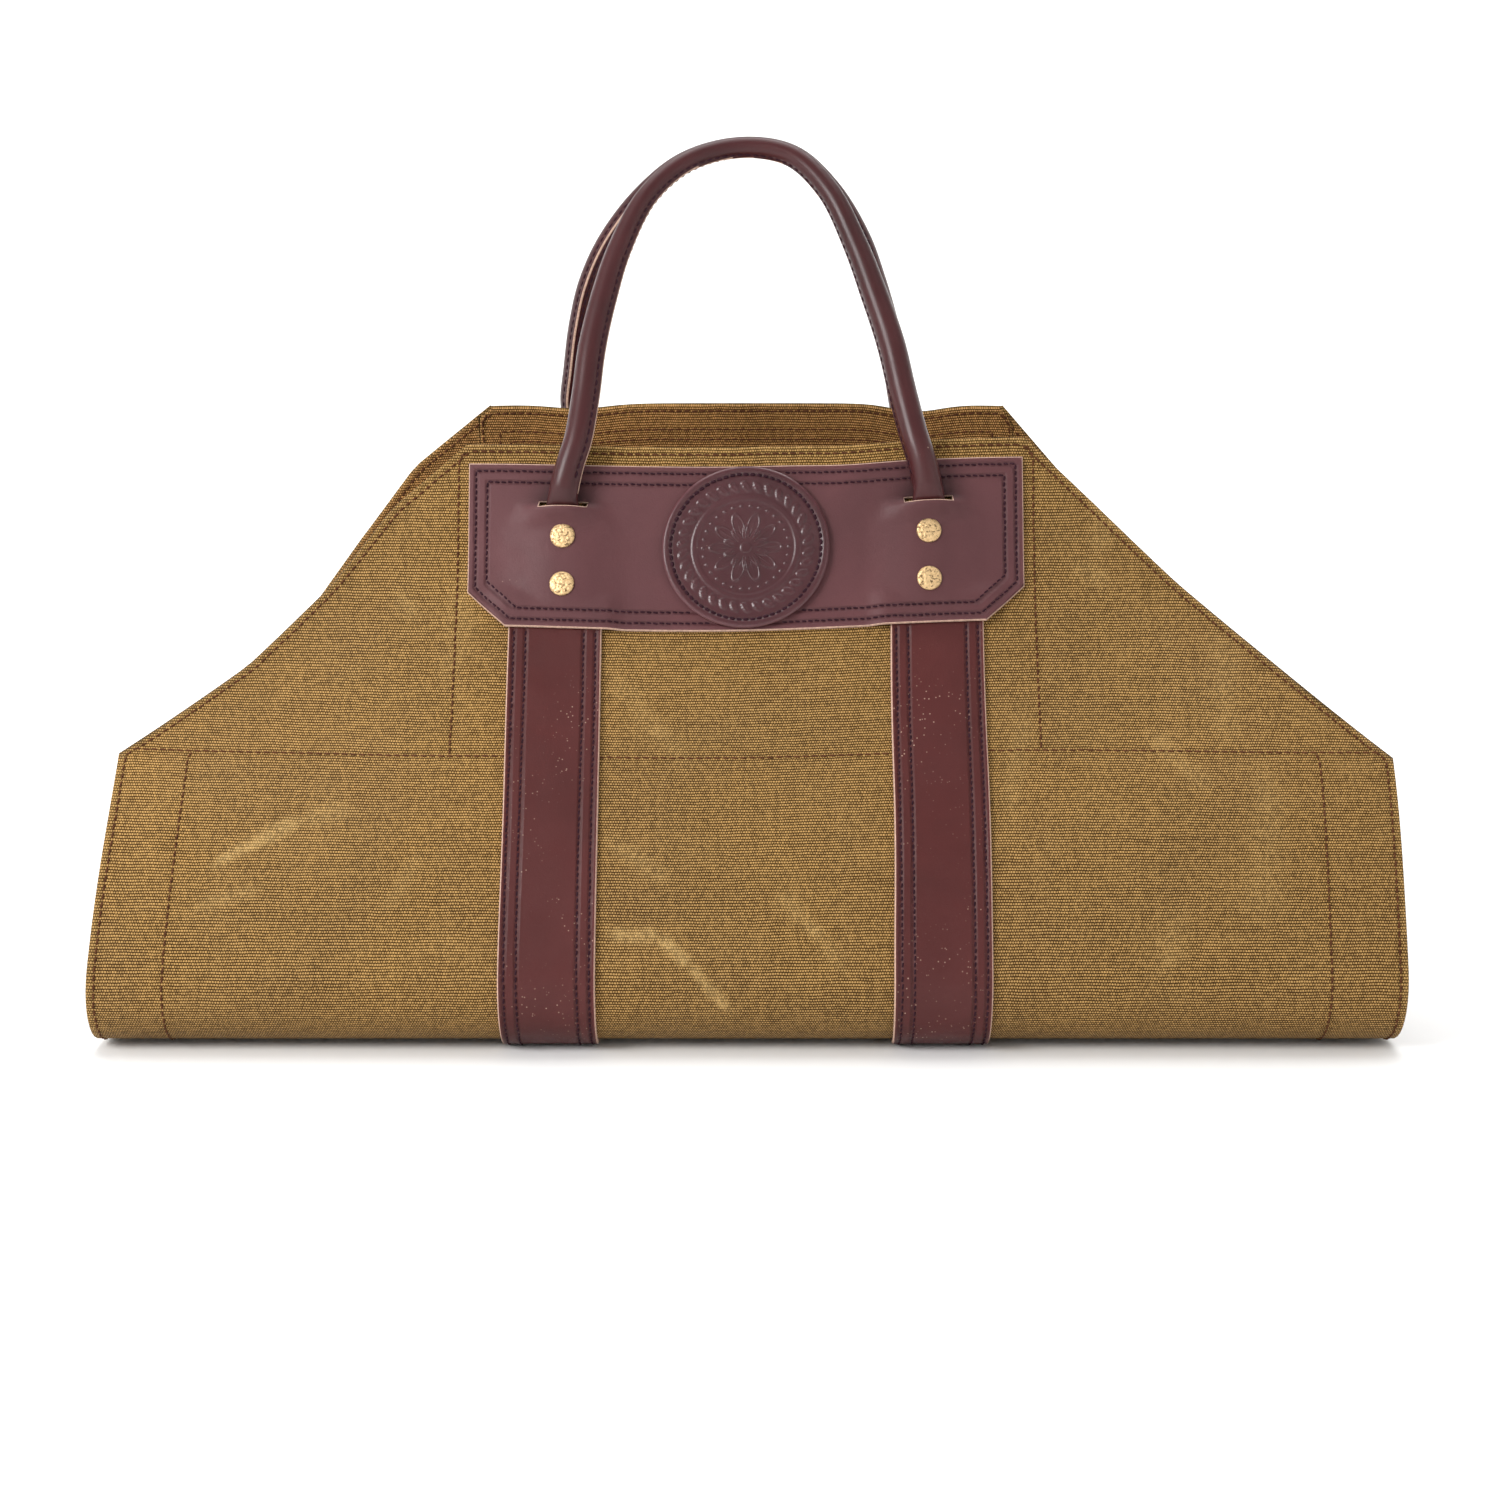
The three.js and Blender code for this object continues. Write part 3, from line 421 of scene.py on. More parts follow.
class LogCarrierColours(bpy.types.PropertyGroup):
    """Colours of the carrier's materials."""

    canvas: colour_prop("Canvas", "Waxed canvas on the outside", (0.320, 0.174, 0.038))
    canvas_gap: colour_prop("Canvas gaps", "Shade between the canvas's threads",
                            (0.040, 0.017, 0.002))
    canvas_rub: colour_prop("Canvas rub", "Wax marks and rubbed places", (0.56, 0.38, 0.15))
    facing: colour_prop("Facing", "Canvas of the inside facings", (0.40, 0.190, 0.045))
    strap: colour_prop("Strap leather", "Leather of the straps", (0.070, 0.014, 0.013))
    patch: colour_prop("Patch leather", "Leather of the patches", (0.094, 0.034, 0.037))
    handle: colour_prop("Handle leather", "Leather of the handles", (0.050, 0.011, 0.012))
    medallion: colour_prop("Medallion leather", "Leather of the medallion",
                           (0.052, 0.012, 0.015))
    raw_edge: colour_prop("Raw edge", "Cut edges of the leather", (0.64, 0.42, 0.32))
    thread: colour_prop("Thread", "Sewing thread in the canvas", (0.060, 0.022, 0.008))
    leather_thread: colour_prop("Leather thread", "Sewing thread in the leather",
                                (0.020, 0.006, 0.010))
    brass: colour_prop("Brass", "Rivets", (0.76, 0.53, 0.28))
    stage: colour_prop("Stage", "Floor and backdrop", (0.93, 0.93, 0.925))


# Meshes
def new_piece(name, points, faces, materials, replaces=(), slot=None, face_slots=None):
    """Object from arrays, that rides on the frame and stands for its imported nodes."""
    mesh = bpy.data.meshes.new(name)
    mesh.from_pydata(np.asarray(points).reshape(-1, 3).tolist(), [], faces)
    for material in materials:
        mesh.materials.append(material)
    mesh.polygons.foreach_set("use_smooth", [True] * len(mesh.polygons))
    if face_slots is not None:
        mesh.polygons.foreach_set("material_index", face_slots)
    mesh.update()
    piece = bpy.data.objects.new(name, mesh)
    bpy.context.scene.collection.objects.link(piece)
    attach(piece, "root")
    if replaces:
        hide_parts(*replaces)
    return piece


def add_coordinates(piece, uvs, edges):
    """Cloth coordinates in metres as a UV map, and the distance to the cut edge."""
    mesh = piece.data
    layer = mesh.uv_layers.new(name="Cloth")
    corner_points = np.zeros(len(mesh.loops), np.int32)
    mesh.loops.foreach_get("vertex_index", corner_points)
    layer.data.foreach_set("uv", np.asarray(uvs, float)[corner_points].ravel())
    attribute = mesh.attributes.new("edge_distance", "FLOAT", "POINT")
    attribute.data.foreach_set("value", np.asarray(edges, float))


def border_edges(kept):
    """Directed sides of the kept grid cells that have no neighbour, as point pairs."""
    columns, rows = kept.shape
    sides = []
    steps = (((0, 0), (0, 1), (-1, 0)), ((0, 1), (1, 1), (0, 1)),
             ((1, 1), (1, 0), (1, 0)), ((1, 0), (0, 0), (0, -1)))
    for i in range(columns):
        for j in range(rows):
            if not kept[i, j]:
                continue
            for a, b, (di, dj) in steps:
                ni, nj = i + di, j + dj
                is_open = not (0 <= ni < columns and 0 <= nj < rows) or not kept[ni, nj]
                if is_open:
                    sides.append(((i + a[0], j + a[1]), (i + b[0], j + b[1])))
    return sides


RIM_TURNS = (45.0, 0.0, -45.0)


def sheet_piece(shape, name, across, along, outer, inner, materials, kept=None, rim=0.5 * MM,
                **options):
    """Closed sheet on a grid in the cloth's coordinates, with rounded rims.

    across and along are arrays of columns by rows, and outer and inner are the offsets of the
    two faces from the middle of the cloth.
    """
    across, along = np.broadcast_arrays(across, along)
    across, along = across.astype(float).copy(), along.astype(float).copy()
    columns, rows = across.shape
    if kept is None:
        kept = np.ones((columns - 1, rows - 1), bool)
    sides = border_edges(kept)
    outward = {}
    for a, b in sides:
        run = np.array((across[b] - across[a], along[b] - along[a]))
        push = np.array((-run[1], run[0])) / max(1e-9, np.hypot(*run))
        for end in (a, b):
            outward.setdefault(end, []).append(push)
    outer = np.broadcast_to(outer, across.shape).astype(float)
    inner = np.broadcast_to(inner, across.shape).astype(float)
    ends = list(outward)
    index_i = np.array([end[0] for end in ends])
    index_j = np.array([end[1] for end in ends])
    push = unit(np.array([np.sum(outward[end], axis=0) for end in ends]))
    edge_across, edge_along = across[index_i, index_j], along[index_i, index_j]
    across[index_i, index_j] -= push[:, 0] * rim
    along[index_i, index_j] -= push[:, 1] * rim
    flat = [np.stack((across, along), -1).reshape(-1, 2)] * 2
    offsets = [outer.ravel(), inner.ravel()]
    middle = (outer + inner)[index_i, index_j] / 2
    half = (outer - inner)[index_i, index_j] / 2
    for turn in RIM_TURNS:
        reach = rim * (1 - math.cos(math.radians(turn)))
        flat.append(np.stack((edge_across - push[:, 0] * reach,
                              edge_along - push[:, 1] * reach), -1))
        offsets.append(middle + half * math.sin(math.radians(turn)))
    flat, offsets = np.concatenate(flat), np.concatenate(offsets)
    points = shape.place(flat[:, 0], flat[:, 1], offsets)

    count = columns * rows
    ring_of = {end: k for k, end in enumerate(ends)}
    levels = len(RIM_TURNS)

    def rim_index(end, level):
        if level == 0:
            return end[0] * rows + end[1]
        if level == levels + 1:
            return count + end[0] * rows + end[1]
        return 2 * count + (level - 1) * len(ends) + ring_of[end]

    faces = []
    for i, j in np.argwhere(kept):
        a, b = int(i * rows + j), int(i * rows + j + 1)
        c, d = int((i + 1) * rows + j + 1), int((i + 1) * rows + j)
        faces.append((a, b, c, d))
        faces.append((count + d, count + c, count + b, count + a))
    face_slots = [0] * len(faces)
    rim_slot = 1 if len(materials) > 1 else 0
    for a, b in sides:
        for level in range(levels + 1):
            faces.append((rim_index(b, level), rim_index(a, level),
                          rim_index(a, level + 1), rim_index(b, level + 1)))
            face_slots.append(rim_slot)
    used = np.unique(np.array([p for face in faces for p in face]))
    renumber = np.full(len(points), -1)
    renumber[used] = np.arange(len(used))
    faces = [tuple(int(renumber[p]) for p in face) for face in faces]
    piece = new_piece(name, points[used], faces, materials, face_slots=face_slots, **options)
    flat = flat[used]
    is_outer = ((index_i == 0) | (index_i == columns - 1) | (index_j == 0) | (index_j == rows - 1))
    edge_points = np.stack((edge_across, edge_along), -1)[is_outer]
    add_coordinates(piece, flat, nearest_edge(flat, edge_points))
    return piece


def nearest_edge(flat, edge_points):
    """Distance of each flat point to the nearest border point, in metres."""
    nearest = np.full(len(flat), 1.0)
    for first in range(0, len(edge_points), 64):
        part = edge_points[first:first + 64]
        away = np.hypot(flat[:, None, 0] - part[None, :, 0], flat[:, None, 1] - part[None, :, 1])
        nearest = np.minimum(nearest, away.min(axis=1))
    return nearest


def tube_faces(rings, sides):
    """Quads between rings of points, and a cap at each end."""
    faces = []
    for r in range(rings - 1):
        for k in range(sides):
            a, b = r * sides + k, r * sides + (k + 1) % sides
            faces.append((a, b, b + sides, a + sides))
    last = (rings - 1) * sides
    faces.append(tuple(reversed(range(sides))))
    faces.append(tuple(last + k for k in range(sides)))
    return faces


def merged(pieces):
    """Points and faces of several bodies as one list of each."""
    points, faces, start = [], [], 0
    for body_points, body_faces in pieces:
        points.append(body_points)
        faces.extend(tuple(p + start for p in face) for face in body_faces)
        start += len(body_points)
    return np.concatenate(points), faces


# Stitching
STITCH_SHARES = np.array((0.0, 0.14, 0.5, 0.86, 1.0))
STITCH_RADII = np.array((0.45, 0.92, 1.0, 0.92, 0.45))
STITCH_LIFTS = np.array((-0.75, 0.10, 0.30, 0.10, -0.75))
STITCH_SIDES = 6
STITCH_HOLE = 0.09
STITCH_WANDER = 0.25 * MM
STITCH_SLANT = 0.16 * MM


def resampled(path, pitch):
    """Points a pitch apart along a line of flat points."""
    path = np.asarray(path, float)
    steps = np.hypot(*np.diff(path, axis=0).T)
    keep = np.concatenate(([True], steps > 1e-9))
    path, steps = path[keep], steps[steps > 1e-9]
    reach = np.concatenate(([0], np.cumsum(steps)))
    count = max(1, round(reach[-1] / pitch))
    marks = np.linspace(0, reach[-1], count + 1)
    return np.stack((np.interp(marks, reach, path[:, 0]), np.interp(marks, reach, path[:, 1])), -1)


def stitch_bodies(shape, paths, offset, side=1, thickness=1.0, skip=None, seed=1, pitch=1.0):
    """Thread loops along lines in the cloth's coordinates.

    offset gives the surface's distance from the middle of the cloth, and side is 1 for the
    outside and -1 for the inside. skip drops stitches by place.
    """
    radius = shape.sizes.thread_width * thickness / 2
    starts, ends = [], []
    for path in paths:
        marks = resampled(path, shape.sizes.stitch_pitch * pitch)
        starts.append(marks[:-1])
        ends.append(marks[1:])
    starts, ends = np.concatenate(starts), np.concatenate(ends)
    if skip is not None:
        keep = ~skip((starts + ends) / 2)
        starts, ends = starts[keep], ends[keep]
    run = ends - starts
    beside = unit(np.stack((-run[:, 1], run[:, 0]), -1))
    wander = (steady_noise(len(run), seed) - 0.5)[:, None] * STITCH_WANDER
    a = starts + run * STITCH_HOLE + beside * (wander - STITCH_SLANT)
    b = ends - run * STITCH_HOLE + beside * (wander + STITCH_SLANT)
    line = a[:, None] + (b - a)[:, None] * STITCH_SHARES[None, :, None]
    seat = offset(line[..., 0], line[..., 1]) if callable(offset) else offset
    height = seat + side * STITCH_LIFTS[None, :] * radius
    centre = shape.place(line[..., 0], line[..., 1], height)
    return thread_bodies(centre, shape.normals(line[..., 0], line[..., 1]), radius)


def thread_bodies(centre, normal, radius):
    """Closed lengths of thread from their middle lines, as points and faces."""
    forward = unit(centre[:, -1] - centre[:, 0])[:, None, :]
    lateral = unit(np.cross(forward, normal))
    turns = np.arange(STITCH_SIDES) / STITCH_SIDES * 2 * math.pi
    ring = (lateral[:, :, None] * np.cos(turns)[None, None, :, None]
            + normal[:, :, None] * np.sin(turns)[None, None, :, None])
    radii = (radius * STITCH_RADII)[None, :, None, None]
    points = (centre[:, :, None] + ring * radii).reshape(-1, 3)
    one = tube_faces(len(STITCH_SHARES), STITCH_SIDES)
    starts = range(0, len(points), len(STITCH_SHARES) * STITCH_SIDES)
    return points, [tuple(start + p for p in face) for start in starts for face in one]


def panel_path(shape, panel, across, down):
    across, down = np.broadcast_arrays(np.asarray(across, float), np.asarray(down, float))
    return np.stack((across, shape.panel_along(panel, down)), -1)


EDGE_STITCH = 3.8 * MM
SEAM_INSET = 1.5 * MM


def side_edge_path(shape, hand, inset):
    """Line beside a slanted corner, the side edge and the other slanted corner."""
    height = shape.sizes.corner_cut_height
    downs = np.concatenate((np.linspace(inset, height, 40), [height + 2 * MM]))
    front = shape.panel_along(FRONT, downs)
    whole = np.concatenate((front, np.linspace(front[-1], -front[-1], 140), -front[::-1]))
    step = 1 * MM
    slope = (shape.edge(hand, whole + step) - shape.edge(hand, whole - step)) / (2 * step)
    across = shape.edge(hand, whole) - inset * np.sqrt(1 + slope**2)
    return np.stack((hand * across, whole), -1)


def canvas_stitch_paths(shape):
    """Edge stitching, hem lines, seams and facing lines of the cloth."""
    height = shape.sizes.corner_cut_height
    paths = []
    for hand in (LEFT, RIGHT):
        paths.append(side_edge_path(shape, hand, EDGE_STITCH))
        low = shape.panel_along(FRONT, height - 2 * MM)
        whole = np.linspace(low, -low, 160)
        paths.append(np.stack((hand * (shape.hem_line(hand, whole) + SEAM_INSET), whole), -1))
    for panel in (FRONT, BACK):
        top = shape.sizes.top_edge_width / 2 - 2 * MM
        paths.append(panel_path(shape, panel, np.linspace(-top, top, 60), EDGE_STITCH))
        seam = float(shape.panel_along(panel, height - 2.5 * MM))
        ends = (-(shape.edge(LEFT, seam) - EDGE_STITCH), shape.edge(RIGHT, seam) - EDGE_STITCH)
        paths.append(np.stack((np.linspace(*ends, 120), np.full(120, seam)), -1))
        for hand in (LEFT, RIGHT):
            downs = np.linspace(4 * MM, height - 3 * MM, 40)
            lines = shape.facing_line(hand, shape.panel_along(panel, downs)) - SEAM_INSET
            paths.append(panel_path(shape, panel, hand * lines, downs))
    return paths


def patch_outline(shape, panel, inset):
    """Closed line inside a patch's edge."""
    top, foot = shape.sizes.patch_drop + inset, shape.patch_foot - inset
    half = shape.sizes.patch_width / 2 - inset
    turn = shape.chamfer[0] - inset * 0.42
    drop = shape.chamfer[1] - inset * 0.36
    corners = ((-half, top), (half, top), (half, foot - drop), (half - turn, foot),
               (-half + turn, foot), (-half, foot - drop), (-half, top))
    return [panel_path(shape, panel, np.linspace(a[0], b[0], 40), np.linspace(a[1], b[1], 40))
            for a, b in zip(corners, corners[1:])]


LEATHER_PITCH = 0.74
PATCH_ROWS = (3.8 * MM, 9.3 * MM)
STRAP_ROWS = (2.9 * MM, 8.6 * MM)


def patch_stitch_paths(shape, panel):
    return [path for inset in PATCH_ROWS for path in patch_outline(shape, panel, inset)]


def strap_stitch_paths(shape, hand):
    start = float(shape.panel_along(FRONT, shape.patch_foot + 1 * MM))
    whole = np.linspace(start, -start, 160)
    half = shape.sizes.strap_width / 2
    offsets = [s * (half - inset) for inset in STRAP_ROWS for s in (-1, 1)]
    return [np.stack((np.full(160, hand * shape.strap_centre + x), whole), -1) for x in offsets]


# Shader node groups
def node_group(name, inputs, outputs):
    """Empty group, its inputs' sockets to read and its outputs' sockets to fill."""
    group = bpy.data.node_groups.new(name, "ShaderNodeTree")
    for label, kind, default in inputs:
        socket = group.interface.new_socket(name=label, in_out="INPUT", socket_type=kind)
        if default is not None:
            socket.default_value = default
    for label, kind in outputs:
        group.interface.new_socket(name=label, in_out="OUTPUT", socket_type=kind)
    start, end = group.nodes.new("NodeGroupInput"), group.nodes.new("NodeGroupOutput")
    return group, start.outputs, end.inputs


FLOAT, VECTOR = "NodeSocketFloat", "NodeSocketVector"


class Nodes:
    """Short calls to add and join nodes in one tree."""

    def __init__(self, tree):
        self.tree = tree

    def link(self, value, socket):
        if isinstance(value, bpy.types.NodeSocket):
            self.tree.links.new(value, socket)
        elif value is not None:
            socket.default_value = value

    def math(self, operation, *values, clamp=False):
        node = self.tree.nodes.new("ShaderNodeMath")
        node.operation = operation
        node.use_clamp = clamp
        for socket, value in zip(node.inputs, values):
            self.link(value, socket)
        return node.outputs[0]

    def ramp(self, value, low, high):
        """Smooth step from 0 at low to 1 at high."""
        node = self.tree.nodes.new("ShaderNodeMapRange")
        node.interpolation_type = "SMOOTHSTEP"
        self.link(value, node.inputs["Value"])
        self.link(low, node.inputs["From Min"])
        self.link(high, node.inputs["From Max"])
        return node.outputs["Result"]

    def mix(self, share, first, second, kind="MIX"):
        node = self.tree.nodes.new("ShaderNodeMix")
        node.data_type = "RGBA"
        node.blend_type = kind
        self.link(share, node.inputs[0])
        for value, socket in ((first, node.inputs[6]), (second, node.inputs[7])):
            if isinstance(value, (tuple, list)):
                value = (*value[:3], 1.0)
            self.link(value, socket)
        return node.outputs[2]

    def noise(self, vector, scale, detail=2.0, roughness=0.5, distortion=0.0):
        node = self.tree.nodes.new("ShaderNodeTexNoise")
        self.link(vector, node.inputs["Vector"])
        self.link(scale, node.inputs["Scale"])
        self.link(detail, node.inputs["Detail"])
        self.link(roughness, node.inputs["Roughness"])
        self.link(distortion, node.inputs["Distortion"])
        return node.outputs[0]

    def cells(self, vector, scale, feature="F1"):
        node = self.tree.nodes.new("ShaderNodeTexVoronoi")
        node.feature = feature
        self.link(vector, node.inputs["Vector"])
        self.link(scale, node.inputs["Scale"])
        return node.outputs["Distance"]

    def stretched(self, vector, scale):
        node = self.tree.nodes.new("ShaderNodeMapping")
        self.link(vector, node.inputs["Vector"])
        node.inputs["Scale"].default_value = scale
        return node.outputs[0]

    def split(self, vector):
        node = self.tree.nodes.new("ShaderNodeSeparateXYZ")
        self.link(vector, node.inputs[0])
        return node.outputs[0], node.outputs[1], node.outputs[2]

    def group(self, group, **values):
        node = self.tree.nodes.new("ShaderNodeGroup")
        node.node_tree = group
        for label, value in values.items():
            self.link(value, node.inputs[label.replace("_", " ")])
        return node.outputs

    def uv(self):
        return self.tree.nodes.new("ShaderNodeTexCoord").outputs["UV"]

    def place(self):
        return self.tree.nodes.new("ShaderNodeTexCoord").outputs["Object"]

    def attribute(self, name):
        node = self.tree.nodes.new("ShaderNodeAttribute")
        node.attribute_name = name
        return node.outputs["Fac"]

    def bump(self, height, strength, distance, normal=None):
        node = self.tree.nodes.new("ShaderNodeBump")
        self.link(height, node.inputs["Height"])
        node.inputs["Strength"].default_value = strength
        node.inputs["Distance"].default_value = distance
        self.link(normal, node.inputs["Normal"])
        return node.outputs[0]


def weave_group():
    """Plain weave as staggered thread crowns: height, gaps and the tone of single threads."""
    group, start, end = node_group(
        "Plain weave",
        [("UV", VECTOR, None), ("Warp Pitch", FLOAT, 0.0012), ("Weft Pitch", FLOAT, 0.00138),
         ("Slub", FLOAT, 0.5)],
        [("Height", FLOAT), ("Gap", FLOAT), ("Slub", FLOAT)])
    n = Nodes(group)
    wobble = n.noise(start["UV"], 60.0, 2.0)
    sway = n.math("MULTIPLY", n.math("SUBTRACT", wobble, 0.5), 0.9)
    u, v, _ = n.split(start["UV"])
    u = n.math("ADD", n.math("DIVIDE", u, start["Warp Pitch"]), sway)
    v = n.math("ADD", n.math("DIVIDE", v, start["Weft Pitch"]), sway)
    cell_v = n.math("FLOOR", v)
    odd = n.math("PINGPONG", cell_v, 1.0)
    u = n.math("MULTIPLY_ADD", odd, 0.5, u)
    cell_u = n.math("FLOOR", u)
    part_u = n.math("SUBTRACT", n.math("FRACT", u), 0.5)
    part_v = n.math("SUBTRACT", n.math("FRACT", v), 0.5)
    crest_u = n.math("COSINE", n.math("MULTIPLY", part_u, math.pi * 0.94))
    crest_v = n.math("COSINE", n.math("MULTIPLY", part_v, math.pi * 0.98))
    height = n.math("MULTIPLY", n.math("POWER", crest_u, 0.55), n.math("POWER", crest_v, 0.8))
    cell = group.nodes.new("ShaderNodeCombineXYZ")
    n.link(cell_u, cell.inputs[0])
    n.link(cell_v, cell.inputs[1])
    crown = group.nodes.new("ShaderNodeTexWhiteNoise")
    crown.noise_dimensions = "2D"
    n.link(cell.outputs[0], crown.inputs["Vector"])
    long_u = n.noise(n.stretched(start["UV"], (330.0, 14.0, 1.0)), 1.0, 1.0)
    long_v = n.noise(n.stretched(start["UV"], (12.0, 420.0, 1.0)), 1.0, 2.0)
    strands = n.math("ADD", n.math("MULTIPLY", n.math("SUBTRACT", long_u, 0.5), 0.30),
                     n.math("MULTIPLY", n.math("SUBTRACT", long_v, 0.5), 0.50))
    single = n.math("MULTIPLY_ADD", n.math("SUBTRACT", crown.outputs["Value"], 0.5), 0.62,
                    strands)
    slub = n.math("MULTIPLY", single, start["Slub"])
    height = n.math("MULTIPLY", height, n.math("MULTIPLY_ADD", slub, 0.35, 1.0))
    n.link(height, end["Height"])
    n.link(n.math("SUBTRACT", 1.0, n.ramp(height, 0.30, 0.88)), end["Gap"])
    n.link(slub, end["Slub"])
    return group


def mottle_group():
    """Wide, soft cloudiness and finer blotches, from 0 to 1."""
    group, start, end = node_group(
        "Mottle", [("Vector", VECTOR, None), ("Scale", FLOAT, 10.0), ("Contrast", FLOAT, 1.0)],
        [("Cloud", FLOAT), ("Blotch", FLOAT)])
    n = Nodes(group)
    cloud = n.noise(start["Vector"], start["Scale"], 3.0, 0.55, 0.6)
    fine = n.math("MULTIPLY", start["Scale"], 5.0)
    blotch = n.noise(start["Vector"], fine, 4.0, 0.6, 0.3)
    for value, label in ((cloud, "Cloud"), (blotch, "Blotch")):
        spread = n.math("MULTIPLY", n.math("SUBTRACT", value, 0.5), start["Contrast"])
        n.link(n.math("MULTIPLY_ADD", spread, 2.0, 0.5, clamp=True), end[label])
    return group


def wax_stroke_group():
    """One crease that shows light where the wax has cracked, between two points of the cloth."""
    group, start, end = node_group(
        "Wax stroke",
        [("UV", VECTOR, None), ("From", VECTOR, (0, 0, 0)), ("To", VECTOR, (0, 0, 0)),
         ("Width", FLOAT, 0.004), ("Strength", FLOAT, 1.0)],
        [("Mask", FLOAT)])
    n = Nodes(group)
    tree = group.nodes

    def vector(operation, *values):
        node = tree.new("ShaderNodeVectorMath")
        node.operation = operation
        for socket, value in zip(node.inputs, values):
            n.link(value, socket)
        return node

    source = tree.new("ShaderNodeTexNoise")
    n.link(start["UV"], source.inputs["Vector"])
    source.inputs["Scale"].default_value = 24.0
    source.inputs["Detail"].default_value = 1.0
    shift = vector("SUBTRACT", source.outputs["Color"], (0.5, 0.5, 0.5)).outputs[0]
    moved = vector("MULTIPLY_ADD", shift, (0.014, 0.014, 0.0), start["UV"]).outputs[0]
    to_point = vector("SUBTRACT", moved, start["From"]).outputs[0]
    run = vector("SUBTRACT", start["To"], start["From"]).outputs[0]
    share = n.math("DIVIDE", vector("DOT_PRODUCT", to_point, run).outputs["Value"],
                   vector("DOT_PRODUCT", run, run).outputs["Value"], clamp=True)
    near = vector("SCALE", run)
    n.link(share, near.inputs["Scale"])
    away = vector("LENGTH", vector("SUBTRACT", to_point, near.outputs[0]).outputs[0])
    ends = n.math("MULTIPLY", n.ramp(share, -0.15, 0.15),
                  n.math("SUBTRACT", 1.0, n.ramp(share, 0.85, 1.15)))
    slim = n.math("MULTIPLY", start["Width"], n.math("MULTIPLY_ADD", ends, 0.5, 0.5))
    inside = n.math("SUBTRACT", 1.0, n.ramp(n.math("DIVIDE", away.outputs["Value"], slim),
                                            0.0, 1.0))
    inside = n.math("MULTIPLY", inside, ends)
    broken = n.ramp(n.noise(start["UV"], 240.0, 3.0), 0.25, 0.75)
    mask = n.math("MULTIPLY", inside, n.math("MULTIPLY_ADD", broken, 0.5, 0.5))
    n.link(n.math("MULTIPLY", mask, start["Strength"]), end["Mask"])
    return group


def edge_wear_group():
    """Rubbed band along a cut or folded edge, broken up by fine blotches."""
    group, start, end = node_group(
        "Edge wear",
        [("Vector", VECTOR, None), ("Distance", FLOAT, 1.0), ("Reach", FLOAT, 0.004),
         ("Scale", FLOAT, 220.0)],
        [("Mask", FLOAT)])
    n = Nodes(group)
    ragged = n.math("MULTIPLY_ADD", n.noise(start["Vector"], start["Scale"], 3.0),
                    1.2, 0.4)
    reach = n.math("MULTIPLY", start["Reach"], ragged)
    n.link(n.math("SUBTRACT", 1.0, n.ramp(start["Distance"], 0.0, reach)),
           end["Mask"])
    return group


def leather_grain_group():
    """Pebbled grain with pores, as height, and as a mask of the creases between pebbles."""
    group, start, end = node_group(
        "Leather grain",
        [("Vector", VECTOR, None), ("Scale", FLOAT, 1500.0), ("Pores", FLOAT, 0.3)],
        [("Height", FLOAT), ("Crease", FLOAT)])
    n = Nodes(group)
    pebble = n.cells(start["Vector"], start["Scale"], "SMOOTH_F1")
    fine = n.math("MULTIPLY", start["Scale"], 0.28)
    swell = n.noise(start["Vector"], fine, 4.0, 0.6)
    pore_scale = n.math("MULTIPLY", start["Scale"], 0.55)
    pits = n.cells(start["Vector"], pore_scale)
    pore = n.math("SUBTRACT", 1.0, n.ramp(pits, 0.05, 0.22))
    dip = n.math("MULTIPLY", pore, start["Pores"])
    height = n.math("SUBTRACT", n.math("MULTIPLY_ADD", pebble, -0.5, swell), dip)
    n.link(height, end["Height"])
    n.link(n.math("ADD", n.ramp(pebble, 0.45, 0.9), dip, clamp=True), end["Crease"])
    return group


def specks_group():
    """Sparse light specks and scuffs, from 0 to 1."""
    group, start, end = node_group(
        "Specks", [("Vector", VECTOR, None), ("Scale", FLOAT, 500.0), ("Amount", FLOAT, 0.2)],
        [("Mask", FLOAT)])
    n = Nodes(group)
    dots = n.math("SUBTRACT", 1.0, n.ramp(n.cells(start["Vector"],
                                                  start["Scale"]), 0.06, 0.20))
    patches = n.noise(start["Vector"], n.math("MULTIPLY", start["Scale"], 0.04),
                      3.0, 0.6)
    limit = n.math("SUBTRACT", 1.0, start["Amount"])
    shown = n.ramp(patches, n.math("MULTIPLY", limit, 0.62),
                   n.math("MULTIPLY_ADD", limit, 0.3, 0.5))
    n.link(n.math("MULTIPLY", dots, shown), end["Mask"])
    return group


def dust_group():
    """Pale dust that gathers in low places, from 0 to 1."""
    group, start, end = node_group(
        "Dust", [("Vector", VECTOR, None), ("Low", FLOAT, 0.0), ("Amount", FLOAT, 0.2)],
        [("Mask", FLOAT)])
    n = Nodes(group)
    drift = n.ramp(n.noise(start["Vector"], 34.0, 4.0, 0.6), 0.40, 0.75)
    low = n.math("MULTIPLY_ADD", start["Low"], 0.6, 0.4)
    n.link(n.math("MULTIPLY", n.math("MULTIPLY", drift, low), start["Amount"]),
           end["Mask"])
    return group


